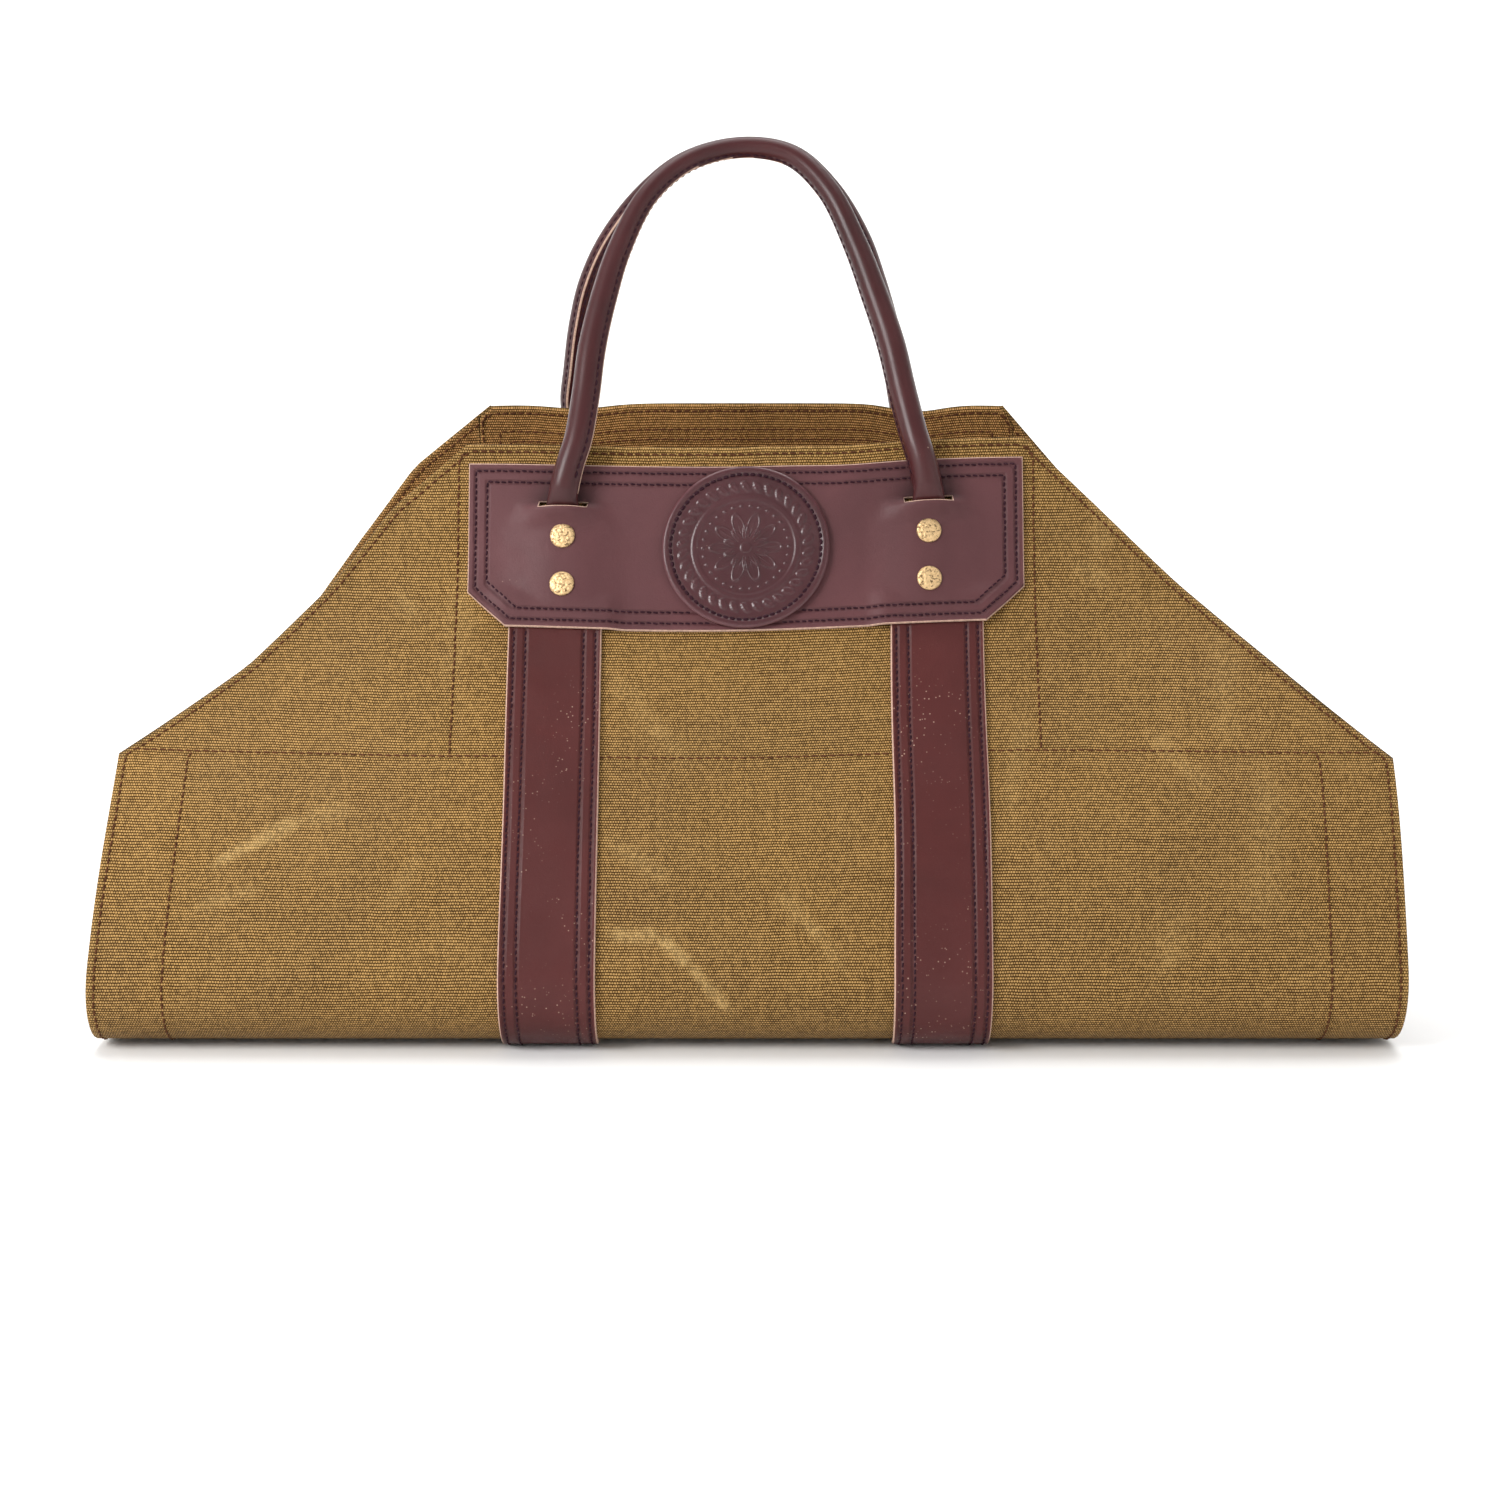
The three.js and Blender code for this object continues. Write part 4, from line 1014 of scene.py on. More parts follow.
def seam_pucker_group():
    """Two pressed rows along an edge where thread pulls the material in, as a height and as a mask
    for painted shade.
    """
    group, start, end = node_group(
        "Seam pucker",
        [("Vector", VECTOR, None), ("Distance", FLOAT, 1.0), ("First Row", FLOAT, 0.0038),
         ("Second Row", FLOAT, 0.0093), ("Width", FLOAT, 0.0012)],
        [("Mask", FLOAT), ("Height", FLOAT)])
    n = Nodes(group)
    rows = []
    for label in ("First Row", "Second Row"):
        away = n.math("ABSOLUTE", n.math("SUBTRACT", start["Distance"],
                                         start[label]))
        rows.append(n.math("SUBTRACT", 1.0, n.ramp(away, 0.0, start["Width"])))
    mask = n.math("MAXIMUM", *rows)
    pulled = n.noise(start["Vector"], 330.0, 2.0)
    n.link(n.math("MULTIPLY", mask, n.math("MULTIPLY_ADD", pulled, 0.8, 0.5), clamp=True),
           end["Mask"])
    n.link(n.math("MULTIPLY", mask, n.math("MULTIPLY_ADD", pulled, -1.2, -0.3)),
           end["Height"])
    return group


GROUP_MAKERS = {
    "Plain weave": weave_group, "Mottle": mottle_group, "Wax stroke": wax_stroke_group,
    "Edge wear": edge_wear_group, "Leather grain": leather_grain_group,
    "Specks": specks_group, "Dust": dust_group, "Seam pucker": seam_pucker_group,
}


def group_named(name):
    return bpy.data.node_groups.get(name) or GROUP_MAKERS[name]()


# Materials
def new_material(name, roughness, **constants):
    """Material with one Principled BSDF, whose constant sockets are set directly."""
    material = bpy.data.materials.new(name)
    material.use_nodes = True
    nodes = Nodes(material.node_tree)
    shader = material.node_tree.nodes["Principled BSDF"]
    shader.inputs["Roughness"].default_value = roughness
    for label, value in constants.items():
        shader.inputs[label.replace("_", " ")].default_value = value
    return material, nodes, shader


# Wax marks on the cloth: panel, across and down of the start, across and down of the end,
# width, all in mm, and strength.
WAX_STROKES = (
    (FRONT, -248, 214, -206, 190, 6.0, 1.0),
    (FRONT, -206, 190, -184, 184, 9.0, 0.5),
    (FRONT, -254, 238, -226, 226, 7.0, 0.5),
    (FRONT, -62, 246, -40, 250, 6.5, 1.0),
    (FRONT, -40, 250, -26, 262, 6.0, 1.1),
    (FRONT, -26, 262, -8, 282, 5.0, 0.9),
    (FRONT, 14, 226, 25, 240, 8.0, 0.45),
    (FRONT, 25, 240, 35, 249, 6.0, 0.8),
    (FRONT, 35, 249, 46, 263, 7.0, 0.4),
    (FRONT, -65, 199, -35, 219, 8.0, 0.45),
    (FRONT, -64, 116, -28, 159, 10.0, 0.35),
    (FRONT, -168, 76, -160, 84, 8.0, 0.45),
    (FRONT, 160, 64, 172, 74, 10.0, 0.5),
    (FRONT, -150, 210, -168, 236, 7.0, 0.35),
    (FRONT, 243, 168, 240, 240, 14.0, 0.35),
    (FRONT, 192, 150, 214, 176, 9.0, 0.45),
    (FRONT, 200, 240, 190, 262, 13.0, 0.35),
    (FRONT, 180, 20, 168, 60, 13.0, 0.45),
    (FRONT, -135, 60, -140, 118, 11.0, 0.35),
    (FRONT, 228, 100, 226, 148, 12.0, 0.3),
    (FRONT, 130, 140, 126, 190, 9.0, 0.35),
    (BACK, -190, 200, -150, 236, 7.0, 0.8),
    (BACK, 96, 236, 140, 214, 7.0, 0.8),
    (BACK, 214, 150, 232, 230, 12.0, 0.4),
    (BACK, -20, 150, -6, 200, 10.0, 0.4),
    (BACK, -230, 110, -196, 150, 9.0, 0.5),
)


EDGE_RUB = 0.28


def cloth_material(name, colour, colours, shape, wax=True):
    """Waxed canvas: a plain weave with slubs, clouds of wax, pale creases and rubbed edges,
    painted highlights on the thread crowns, and painted shade in the gaps, along the edge
    stitching and towards the right.
    """
    material, n, shader = new_material(name, 0.8, Sheen_Weight=0.03, Sheen_Roughness=0.45,
                                       Specular_IOR_Level=0.16)
    uv = n.uv()
    sizes = shape.sizes
    weave = n.group(group_named("Plain weave"), UV=uv, Warp_Pitch=sizes.warp_pitch,
                    Weft_Pitch=sizes.weft_pitch, Slub=1.0)
    wide = n.group(group_named("Mottle"), Vector=uv, Scale=9.0, Contrast=1.3)
    close = n.group(group_named("Mottle"), Vector=uv, Scale=38.0, Contrast=1.2)
    wear = n.group(group_named("Edge wear"), Vector=uv, Distance=n.attribute("edge_distance"),
                   Reach=0.0035, Scale=260.0)
    dust = n.group(group_named("Dust"), Vector=uv, Low=weave["Gap"], Amount=0.16)
    dark = tuple(c * 0.78 for c in colour)
    light = tuple(min(1.0, c * 1.22 + 0.006) for c in colour)
    tone = n.mix(wide["Cloud"], dark, light)
    tone = n.mix(n.math("MULTIPLY", close["Cloud"], 0.22), tone, dark)
    # Painted shade: the cloth darkens towards its right side, away from the key light.
    right_falloff_shade = n.ramp(n.split(uv)[0], -0.12, 0.30)
    tone = n.mix(n.math("MULTIPLY", right_falloff_shade, 0.34), tone, dark)
    marks = 0.0
    if wax:
        for panel, x0, down0, x1, down1, width, strength in WAX_STROKES:
            ends = [(x * MM, float(shape.panel_along(panel, d * MM)), 0.0)
                    for x, d in ((x0, down0), (x1, down1))]
            mask = n.group(group_named("Wax stroke"), UV=uv, From=ends[0], To=ends[1],
                           Width=width * MM, Strength=strength)["Mask"]
            marks = n.math("MAXIMUM", marks, mask)
    rubbed = n.math("ADD", marks, n.math("MULTIPLY", wear["Mask"], EDGE_RUB), clamp=True)
    rubbed = n.math("ADD", rubbed, dust["Mask"], clamp=True)
    tone = n.mix(n.math("MULTIPLY", rubbed, 0.80), tone, tuple(colours.canvas_rub))
    seam = n.group(group_named("Seam pucker"), Vector=uv, Distance=n.attribute("edge_distance"),
                   First_Row=EDGE_STITCH, Second_Row=EDGE_STITCH, Width=0.0016)
    # Painted shade along the pressed row of edge stitching.
    tone = n.mix(n.math("MULTIPLY", seam["Mask"], 0.35), tone, dark)
    slub = n.math("MULTIPLY_ADD", weave["Slub"], 0.85, 1.0)
    shade = n.tree.nodes.new("ShaderNodeCombineXYZ")
    for socket in shade.inputs:
        n.link(slub, socket)
    tone = n.mix(1.0, tone, shade.outputs[0], "MULTIPLY")
    # Painted highlight on the thread crowns, paler where the weave stands highest.
    crown = tuple(min(1.0, c * 1.28 + 0.062) for c in colour)
    tone = n.mix(n.math("MULTIPLY", n.ramp(weave["Height"], 0.50, 0.95), 0.72), tone, crown)
    # Painted shade between the threads, weaker where the cloth is rubbed or dusty.
    gap = n.math("MULTIPLY", weave["Gap"], n.math("MULTIPLY_ADD", rubbed, -0.35, 1.0))
    tone = n.mix(gap, tone, tuple(colours.canvas_gap))
    n.link(tone, shader.inputs["Base Color"])
    rough = n.math("MULTIPLY_ADD", wide["Cloud"], 0.16, 0.62)
    rough = n.math("ADD", rough, n.math("MULTIPLY", weave["Gap"], 0.15))
    n.link(rough, shader.inputs["Roughness"])
    crease = n.bump(marks, 0.35, 0.0008) if wax else None
    pressed = n.bump(seam["Height"], 0.5, 0.0006, crease)
    n.link(n.bump(weave["Height"], 0.75, 0.00035, pressed), shader.inputs["Normal"])
    return material


def leather_material(name, colour, colours, scale=1700.0, roughness=0.42, grain=0.25,
                     coat=0.0, specks=0.0, cloud=0.35, edge=0.5, rows=None):
    """Oiled leather: fine grain, soft clouds, a paler rub at its edges and a few scuffs, with
    painted shade in the grain's creases, along stitch rows and beside the handle slits.
    """
    material, n, shader = new_material(name, roughness, Specular_IOR_Level=0.22,
                                       Coat_Roughness=0.24)
    vector = n.uv()
    grains = n.group(group_named("Leather grain"), Vector=vector, Scale=scale, Pores=0.25)
    tones = n.group(group_named("Mottle"), Vector=vector, Scale=16.0, Contrast=1.0)
    scuffs = n.group(group_named("Specks"), Vector=vector, Scale=420.0, Amount=specks)
    dark = tuple(c * (1 - cloud) for c in colour)
    light = tuple(min(1.0, c * (1 + cloud * 0.6)) for c in colour)
    tone = n.mix(tones["Cloud"], dark, light)
    # Painted shade in the low creases between pebbles and in the pores.
    tone = n.mix(n.math("MULTIPLY", grains["Crease"], 0.30), tone, dark)
    worn = n.group(group_named("Edge wear"), Vector=vector,
                   Distance=n.attribute("edge_distance"), Reach=0.0016, Scale=600.0)
    pale = tuple(min(1.0, c * 2.1 + 0.02) for c in colour)
    tone = n.mix(n.math("MULTIPLY", worn["Mask"], edge), tone, pale)
    tone = n.mix(n.math("MULTIPLY", scuffs["Mask"], 0.7), tone, tuple(colours.raw_edge))
    pressed = None
    if rows:
        seam = n.group(group_named("Seam pucker"), Vector=vector,
                       Distance=n.attribute("edge_distance"), First_Row=rows[0],
                       Second_Row=rows[1], Width=0.0017)
        # Painted shade along the pressed stitch rows.
        tone = n.mix(n.math("MULTIPLY", seam["Mask"], 0.55), tone, tuple(c * 0.8 for c in dark))
        # Painted shade beside the handle legs and just over each slit, read from the shade
        # attribute.
        tone = n.mix(n.attribute("shade"), tone, tuple(c * 0.22 for c in colour))
        pressed = n.bump(seam["Height"], 0.8, 0.0008)
    n.link(tone, shader.inputs["Base Color"])
    rough = n.math("MULTIPLY_ADD", tones["Blotch"], 0.14, roughness - 0.07)
    rough = n.math("ADD", rough, n.math("MULTIPLY", grains["Crease"], 0.12))
    n.link(rough, shader.inputs["Roughness"])
    if coat:
        n.link(n.math("MULTIPLY_ADD", tones["Cloud"], 0.3 * coat, 0.8 * coat),
               shader.inputs["Coat Weight"])
    n.link(n.bump(grains["Height"], grain, 0.00025, pressed), shader.inputs["Normal"])
    return material


def raw_edge_material(colours):
    """Cut leather edge: pale fibres with darker burnished streaks."""
    material, n, shader = new_material("Raw leather edge", 0.75, Specular_IOR_Level=0.3)
    uv = n.uv()
    fibres = n.noise(n.stretched(uv, (900.0, 900.0, 1.0)), 1.0, 4.0, 0.7)
    tones = n.group(group_named("Mottle"), Vector=uv, Scale=60.0, Contrast=1.2)
    pale = tuple(colours.raw_edge)
    dark = tuple(c * 0.55 for c in pale)
    tone = n.mix(n.ramp(fibres, 0.3, 0.7), dark, pale)
    tone = n.mix(n.math("MULTIPLY", tones["Blotch"], 0.45), tone, dark)
    n.link(tone, shader.inputs["Base Color"])
    n.link(n.math("MULTIPLY_ADD", fibres, 0.2, 0.62), shader.inputs["Roughness"])
    n.link(n.bump(fibres, 0.4, 0.0002), shader.inputs["Normal"])
    return material


def thread_material(name, colour):
    """Waxed thread with a fine twist."""
    material, n, shader = new_material(name, 0.8, Specular_IOR_Level=0.12)
    place = n.place()
    tones = n.group(group_named("Mottle"), Vector=place, Scale=90.0, Contrast=1.2)
    twist = n.noise(n.stretched(place, (2600.0, 2600.0, 1500.0)), 1.0, 2.0)
    dark = tuple(c * 0.55 for c in colour)
    light = tuple(min(1.0, c * 1.7) for c in colour)
    tone = n.mix(tones["Blotch"], dark, light)
    tone = n.mix(n.ramp(twist, 0.35, 0.7), tone, light)
    n.link(tone, shader.inputs["Base Color"])
    n.link(n.math("MULTIPLY_ADD", twist, 0.2, 0.65), shader.inputs["Roughness"])
    n.link(n.bump(twist, 0.5, 0.0002), shader.inputs["Normal"])
    return material


def brass_material(colours):
    """Hammered, slightly tarnished brass."""
    material, n, shader = new_material("Brass", 0.5, Metallic=0.75)
    place = n.place()
    hammer = n.cells(place, 750.0, "SMOOTH_F1")
    fine = n.noise(place, 2200.0, 4.0, 0.65)
    tones = n.group(group_named("Mottle"), Vector=place, Scale=220.0, Contrast=1.5)
    bright = tuple(colours.brass)
    dull = (bright[0] * 0.42, bright[1] * 0.34, bright[2] * 0.24)
    pits = n.ramp(n.math("MULTIPLY_ADD", fine, 0.6, n.math("MULTIPLY", hammer, 0.6)), 0.55, 0.85)
    flecks = n.ramp(n.noise(n.stretched(place, (1.0, 1.0, 1.6)), 620.0, 2.0, 0.7), 0.54, 0.62)
    tone = n.mix(n.math("MULTIPLY", tones["Blotch"], 0.30), bright, dull)
    tone = n.mix(n.math("MULTIPLY", pits, 0.5), tone, dull)
    tone = n.mix(n.math("MULTIPLY", flecks, 0.85), tone, (0.10, 0.055, 0.02))
    n.link(tone, shader.inputs["Base Color"])
    n.link(n.math("MULTIPLY_ADD", pits, 0.25, 0.42), shader.inputs["Roughness"])
    height = n.math("MULTIPLY_ADD", hammer, -1.0, n.math("MULTIPLY", fine, 0.35))
    n.link(n.bump(height, 0.65, 0.0005), shader.inputs["Normal"])
    return material


MATERIALS = {}


def material_for(name):
    """The finish of a piece, made when it is first needed."""
    if name not in MATERIALS:
        scene = bpy.context.scene
        colours = scene.log_carrier_colours
        shape = CarrierShape(scene.log_carrier_sizes)
        makers = {
            "canvas": lambda: cloth_material("Waxed canvas", tuple(colours.canvas), colours,
                                             shape),
            "facing": lambda: cloth_material("Canvas facing", tuple(colours.facing), colours,
                                             shape, wax=False),
            "strap": lambda: leather_material("Strap leather", tuple(colours.strap), colours,
                                              specks=0.32, roughness=0.44, coat=0.06,
                                              cloud=0.22, rows=STRAP_ROWS),
            "patch": lambda: leather_material("Patch leather", tuple(colours.patch), colours,
                                              roughness=0.5, cloud=0.22, edge=0.25,
                                              rows=PATCH_ROWS),
            "handle": lambda: leather_material("Handle leather", tuple(colours.handle), colours,
                                               roughness=0.38, coat=0.22, scale=1400.0),
            "medallion": lambda: leather_material("Medallion leather", tuple(colours.medallion),
                                                  colours, roughness=0.34, coat=0.55, grain=0.35,
                                                  cloud=0.25),
            "raw_edge": lambda: raw_edge_material(colours),
            "thread": lambda: thread_material("Canvas thread", tuple(colours.thread)),
            "leather_thread": lambda: thread_material("Leather thread",
                                                      tuple(colours.leather_thread)),
            "brass": lambda: brass_material(colours),
        }
        MATERIALS[name] = makers[name]()
    return MATERIALS[name]


# Grids of the layers: cell sizes, cells across each piece, and the radius of each rim
CELL = 5 * MM
PATCH_CELL = 2.2 * MM
SUPPORT = 0.7 * MM
CELLS_ACROSS = {"canvas side": 34, "canvas middle": 56, "facing": 56, "corner": 28, "hem": 8,
                "strap": 9, "patch end": 16}
RIM = {"canvas": 0.6 * MM, "facing": 0.45 * MM, "corner": 0.35 * MM, "strap": 0.65 * MM,
       "patch": 0.6 * MM}


def with_support(values):
    """Adds a line close to each end, which keeps the shading of the border tight."""
    first, last = values[0], values[-1]
    turn = SUPPORT if last > first else -SUPPORT
    return np.concatenate(([first, first + turn], values[1:-1], [last - turn, last]))


def whole_rows(shape, down):
    half = shape.half_length - down
    return with_support(spaced((-half, half), CELL))


def between_columns(left, right, count):
    """Columns by rows of across values between two lines, close together at both ends."""
    shares = np.linspace(0, 1, count + 1)[1:-1]
    width = right - left
    lines = [left, left + SUPPORT, *(left + width * s for s in shares), right - SUPPORT, right]
    return np.stack(lines)


def build_canvas(shape):
    rows = whole_rows(shape, 0.0)
    left_edge, right_edge = -shape.edge(LEFT, rows), shape.edge(RIGHT, rows)
    left, right = -shape.facing_line(LEFT, rows), shape.facing_line(RIGHT, rows)
    outer_count, inner_count = CELLS_ACROSS["canvas side"], CELLS_ACROSS["canvas middle"]
    columns = [left_edge, left_edge + SUPPORT]
    shares = np.linspace(0, 1, outer_count + 1)[1:]
    columns += [left_edge + (left - left_edge) * s for s in shares]
    columns += [left + (right - left) * s for s in np.linspace(0, 1, inner_count + 1)[1:]]
    columns += [right + (right_edge - right) * s for s in shares[:-1]]
    columns += [right_edge - SUPPORT, right_edge]
    across = np.stack(columns)
    sizes = shape.sizes
    sheet_piece(
        shape, "canvas_panel", across, rows[None, :], shape.canvas_outer, -shape.canvas_outer,
        [material_for("canvas")], replaces=["canvas_sling"], slot="canvas",
        rim=min(RIM["canvas"], sizes.canvas_wall / 2))


def build_facings(shape):
    height = shape.sizes.corner_cut_height
    for panel in (FRONT, BACK):
        def rows(start, end):
            downs = with_support(spaced((start, end), CELL))
            along = shape.panel_along(panel, downs)
            return along if panel == FRONT else along[::-1]
        word = SIDE_WORD[panel]
        along = rows(shape.hem_setback, height)
        across = between_columns(-shape.facing_line(LEFT, along),
                                 shape.facing_line(RIGHT, along), CELLS_ACROSS["facing"])
        sheet_piece(
            shape, f"facing_top_{word}", across, along[None, :], shape.facing_outer,
            shape.facing_inner, [material_for("facing")], replaces=[f"top_facing_{word}"],
            slot="facing", rim=RIM["facing"])
        for hand in (LEFT, RIGHT):
            along = rows(shape.facing_inset, height - shape.layer_gap)
            inside = shape.facing_line(hand, along) + shape.layer_gap
            outside = shape.edge(hand, along) - shape.hem_setback
            across = between_columns(inside, outside, CELLS_ACROSS["corner"])
            if hand == LEFT:
                across = -across[::-1]
            sheet_piece(
                shape, f"facing_corner_{word}_{HAND_WORD[hand]}", across, along[None, :],
                shape.facing_outer, shape.facing_inner, [material_for("facing")],
                replaces=[f"corner_facing_{word}_{HAND_WORD[hand]}"], slot="facing",
                rim=RIM["corner"])


def build_hems(shape):
    for hand in (LEFT, RIGHT):
        along = whole_rows(shape, shape.sizes.corner_cut_height + shape.layer_gap)
        across = between_columns(shape.hem_line(hand, along),
                                 shape.edge(hand, along) - shape.hem_setback, CELLS_ACROSS["hem"])
        if hand == LEFT:
            across = -across[::-1]
        sheet_piece(
            shape, f"hem_{HAND_WORD[hand]}", across, along[None, :], shape.facing_outer,
            shape.facing_inner, [material_for("facing")],
            replaces=[f"side_hem_{HAND_WORD[hand]}"], slot="facing", rim=RIM["facing"])


def build_straps(shape):
    for hand in (LEFT, RIGHT):
        along = whole_rows(shape, shape.strap_start)
        half = shape.sizes.strap_width / 2
        wander = 0.5 * MM * np.sin(along / 0.071 + hand) + 0.3 * MM * np.sin(along / 0.023)
        across = between_columns(-half + wander, half + 0.4 * wander, CELLS_ACROSS["strap"])
        across = across + hand * shape.strap_centre
        sheet_piece(
            shape, f"leather_strap_{HAND_WORD[hand]}", across, along[None, :],
            shape.strap_outer, shape.leather_seat,
            [material_for("strap"), material_for("raw_edge")],
            replaces=[f"strap_{HAND_WORD[hand]}"], slot="strap_leather", rim=RIM["strap"])


def patch_grid(shape):
    """Rows down a patch, and its column stops at every row."""
    start = shape.patch_foot - shape.chamfer[1]
    slit_low = shape.slit_foot + shape.lip_run
    downs = spaced((shape.sizes.patch_drop, shape.slit_top, shape.slit_foot, slit_low, start,
                    shape.strap_start, shape.patch_foot), PATCH_CELL)
    downs = with_support(downs)
    edge = shape.patch_half_width(downs)
    inside = shape.handle_x - shape.slit_width / 2
    outside = shape.handle_x + shape.slit_width / 2
    middle = spaced((0.0, inside, outside), PATCH_CELL)[1:]
    count = CELLS_ACROSS["patch end"]
    outer = [outside + (edge - outside) * k / count for k in range(1, count)]
    outer += [edge - SUPPORT, edge]
    right = [np.full_like(downs, x) for x in middle] + outer
    columns = [-line for line in reversed(right)] + [np.zeros_like(downs)] + right
    return downs, np.stack(columns)


def patch_surface(shape):
    return lambda across, along: shape.patch_seat(across, along) + shape.sizes.patch_wall


def paint_slit_shade(shape, piece):
    """Painted shade on the leather beside the legs and just over each slit, stored in the shade
    attribute.
    """
    mesh = piece.data
    flat = np.zeros(len(mesh.loops) * 2)
    mesh.uv_layers["Cloth"].data.foreach_get("uv", flat)
    corner_points = np.zeros(len(mesh.loops), np.int32)
    mesh.loops.foreach_get("vertex_index", corner_points)
    places = np.zeros((len(mesh.vertices), 2))
    places[corner_points] = flat.reshape(-1, 2)
    down = shape.half_length - np.abs(places[:, 1])
    beside = np.abs(np.abs(places[:, 0]) - shape.handle_x) / (14 * MM)
    over = smooth(shape.sizes.patch_drop, shape.slit_top - 1 * MM, down)
    over = over * (down < shape.slit_foot - 0.5 * MM)
    shade = np.exp(-beside**2) * over * 0.9
    mesh.attributes.new("shade", "FLOAT", "POINT").data.foreach_set("value", shade)


def build_patches(shape):
    downs, across = patch_grid(shape)
    for panel in (FRONT, BACK):
        along = shape.panel_along(panel, downs)
        here = across
        if panel == BACK:
            along, here = along[::-1], across[:, ::-1]
        seat = shape.patch_seat(here, along[None, :])
        down = shape.half_length - np.abs(along)
        mid_down = (down[1:] + down[:-1]) / 2
        mid_x = np.abs((here[1:, 1:] + here[:-1, :-1]) / 2)
        in_slit = ((mid_down > shape.slit_top) & (mid_down < shape.slit_foot))[None, :]
        in_slit = in_slit & (np.abs(mid_x - shape.handle_x) < shape.slit_width / 2)
        word = SIDE_WORD[panel]
        paint_slit_shade(shape, sheet_piece(
            shape, f"leather_patch_{word}", here, along[None, :],
            seat + shape.sizes.patch_wall, seat,
            [material_for("patch"), material_for("raw_edge")], kept=~in_slit,
            replaces=[f"handle_patch_{word}"], slot="patch_leather", rim=RIM["patch"]))


# Handles
def handle_stations(shape, panel):
    """Middle, outward direction, half width and half thickness along a handle."""
    sizes = shape.sizes
    column = 2 if panel == FRONT else 4
    legs = {}
    for hand in (LEFT, RIGHT):
        foot_x = shape.handle_x * (hand * HANDLE_PATH[0][column] + HANDLE_PATH[0][column + 1])
        stations = []
        for down, flat, wide, thick, lift, swing in TAIL_SECTIONS:
            depth = (shape.tail_wall if flat else sizes.handle_leg) * thick
            seat = shape.leather_seat + lift * (sizes.patch_wall + shape.tail_clearance)
            along = shape.panel_along(panel, down * shape.tail_foot)
            across = hand * shape.handle_x + (foot_x - hand * shape.handle_x) * swing
            stations.append((shape.place(across, along, seat + depth / 2),
                             shape.normals(across, along), shape.tail_width * wide / 2,
                             depth / 2))
        stand = (shape.leather_seat + sizes.patch_wall + shape.layer_gap + sizes.handle_leg / 2)
        top_along = shape.panel_along(panel, 0.0)
        start = shape.place(hand * shape.handle_x, top_along, stand)
        normal = shape.normals(hand * shape.handle_x, top_along)
        front_z = shape.place(hand * shape.handle_x, shape.panel_along(FRONT, 0.0), stand)[2]
        apex = front_z + sizes.handle_rise - (shape.back_handle_drop if panel == BACK else 0)
        top_y = panel * (sizes.handle_top / 2 + shape.layer_gap)
        for row in HANDLE_PATH:
            x = shape.handle_x * (hand * row[column] + row[column + 1])
            y = start[1] + (top_y - start[1]) * row[1]
            half = float(shape.handle_thickness(row[0])) / 2
            point = np.array((x, y, start[2] + row[0] * (apex - start[2])))
            stations.append((point, normal, half, half))
        legs[hand] = stations
    return legs[LEFT] + legs[RIGHT][:-1][::-1]


def curve_points(knots, shares):
    """Points on a centripetal Catmull-Rom curve through the knots."""
    knots = np.asarray(knots, float)
    last = len(knots) - 1
    before, after = 2 * knots[0] - knots[1], 2 * knots[-1] - knots[-2]
    points = []
    for share in np.atleast_1d(shares):
        spot = min(max(share, 0.0), 1.0) * last
        k = min(int(spot), last - 1)
        t = spot - k
        p1, p2 = knots[k], knots[k + 1]
        p0 = knots[k - 1] if k > 0 else before
        p3 = knots[k + 2] if k + 2 <= last else after
        gaps = [max(1e-4, np.sum((b - a) ** 2) ** 0.25) for a, b in ((p0, p1), (p1, p2), (p2, p3))]
        d0, d1, d2 = gaps
        t1 = ((p1 - p0) / d0 - (p2 - p0) / (d0 + d1) + (p2 - p1) / d1) * d1
        t2 = ((p2 - p1) / d1 - (p3 - p1) / (d1 + d2) + (p3 - p2) / d2) * d1
        c2 = -3 * p1 + 3 * p2 - 2 * t1 - t2
        c3 = 2 * p1 - 2 * p2 + t1 + t2
        points.append(p1 + t1 * t + c2 * t * t + c3 * t**3)
    return np.array(points)


# Sides of a handle's sections, and steps between two of its stations
HANDLE_SIDES = 40
OPEN_STEPS, TAIL_STEPS = 9, 4

# Seam of a rolled handle: half width and colour strip in degrees, rise and groove as shares of
# the radius, and its angle on the back handle and on the right and left of the front one.
SEAM_WIDE = 13.0
SEAM_STRIP = 5.0
SEAM_RISE, SEAM_GROOVE = 0.17, 0.045
SEAM_BACK = 291.0
SEAM_FRONT, SEAM_FRONT_LEFT = 335.0, 45.0
STITCH_CLEAR = 6 * MM


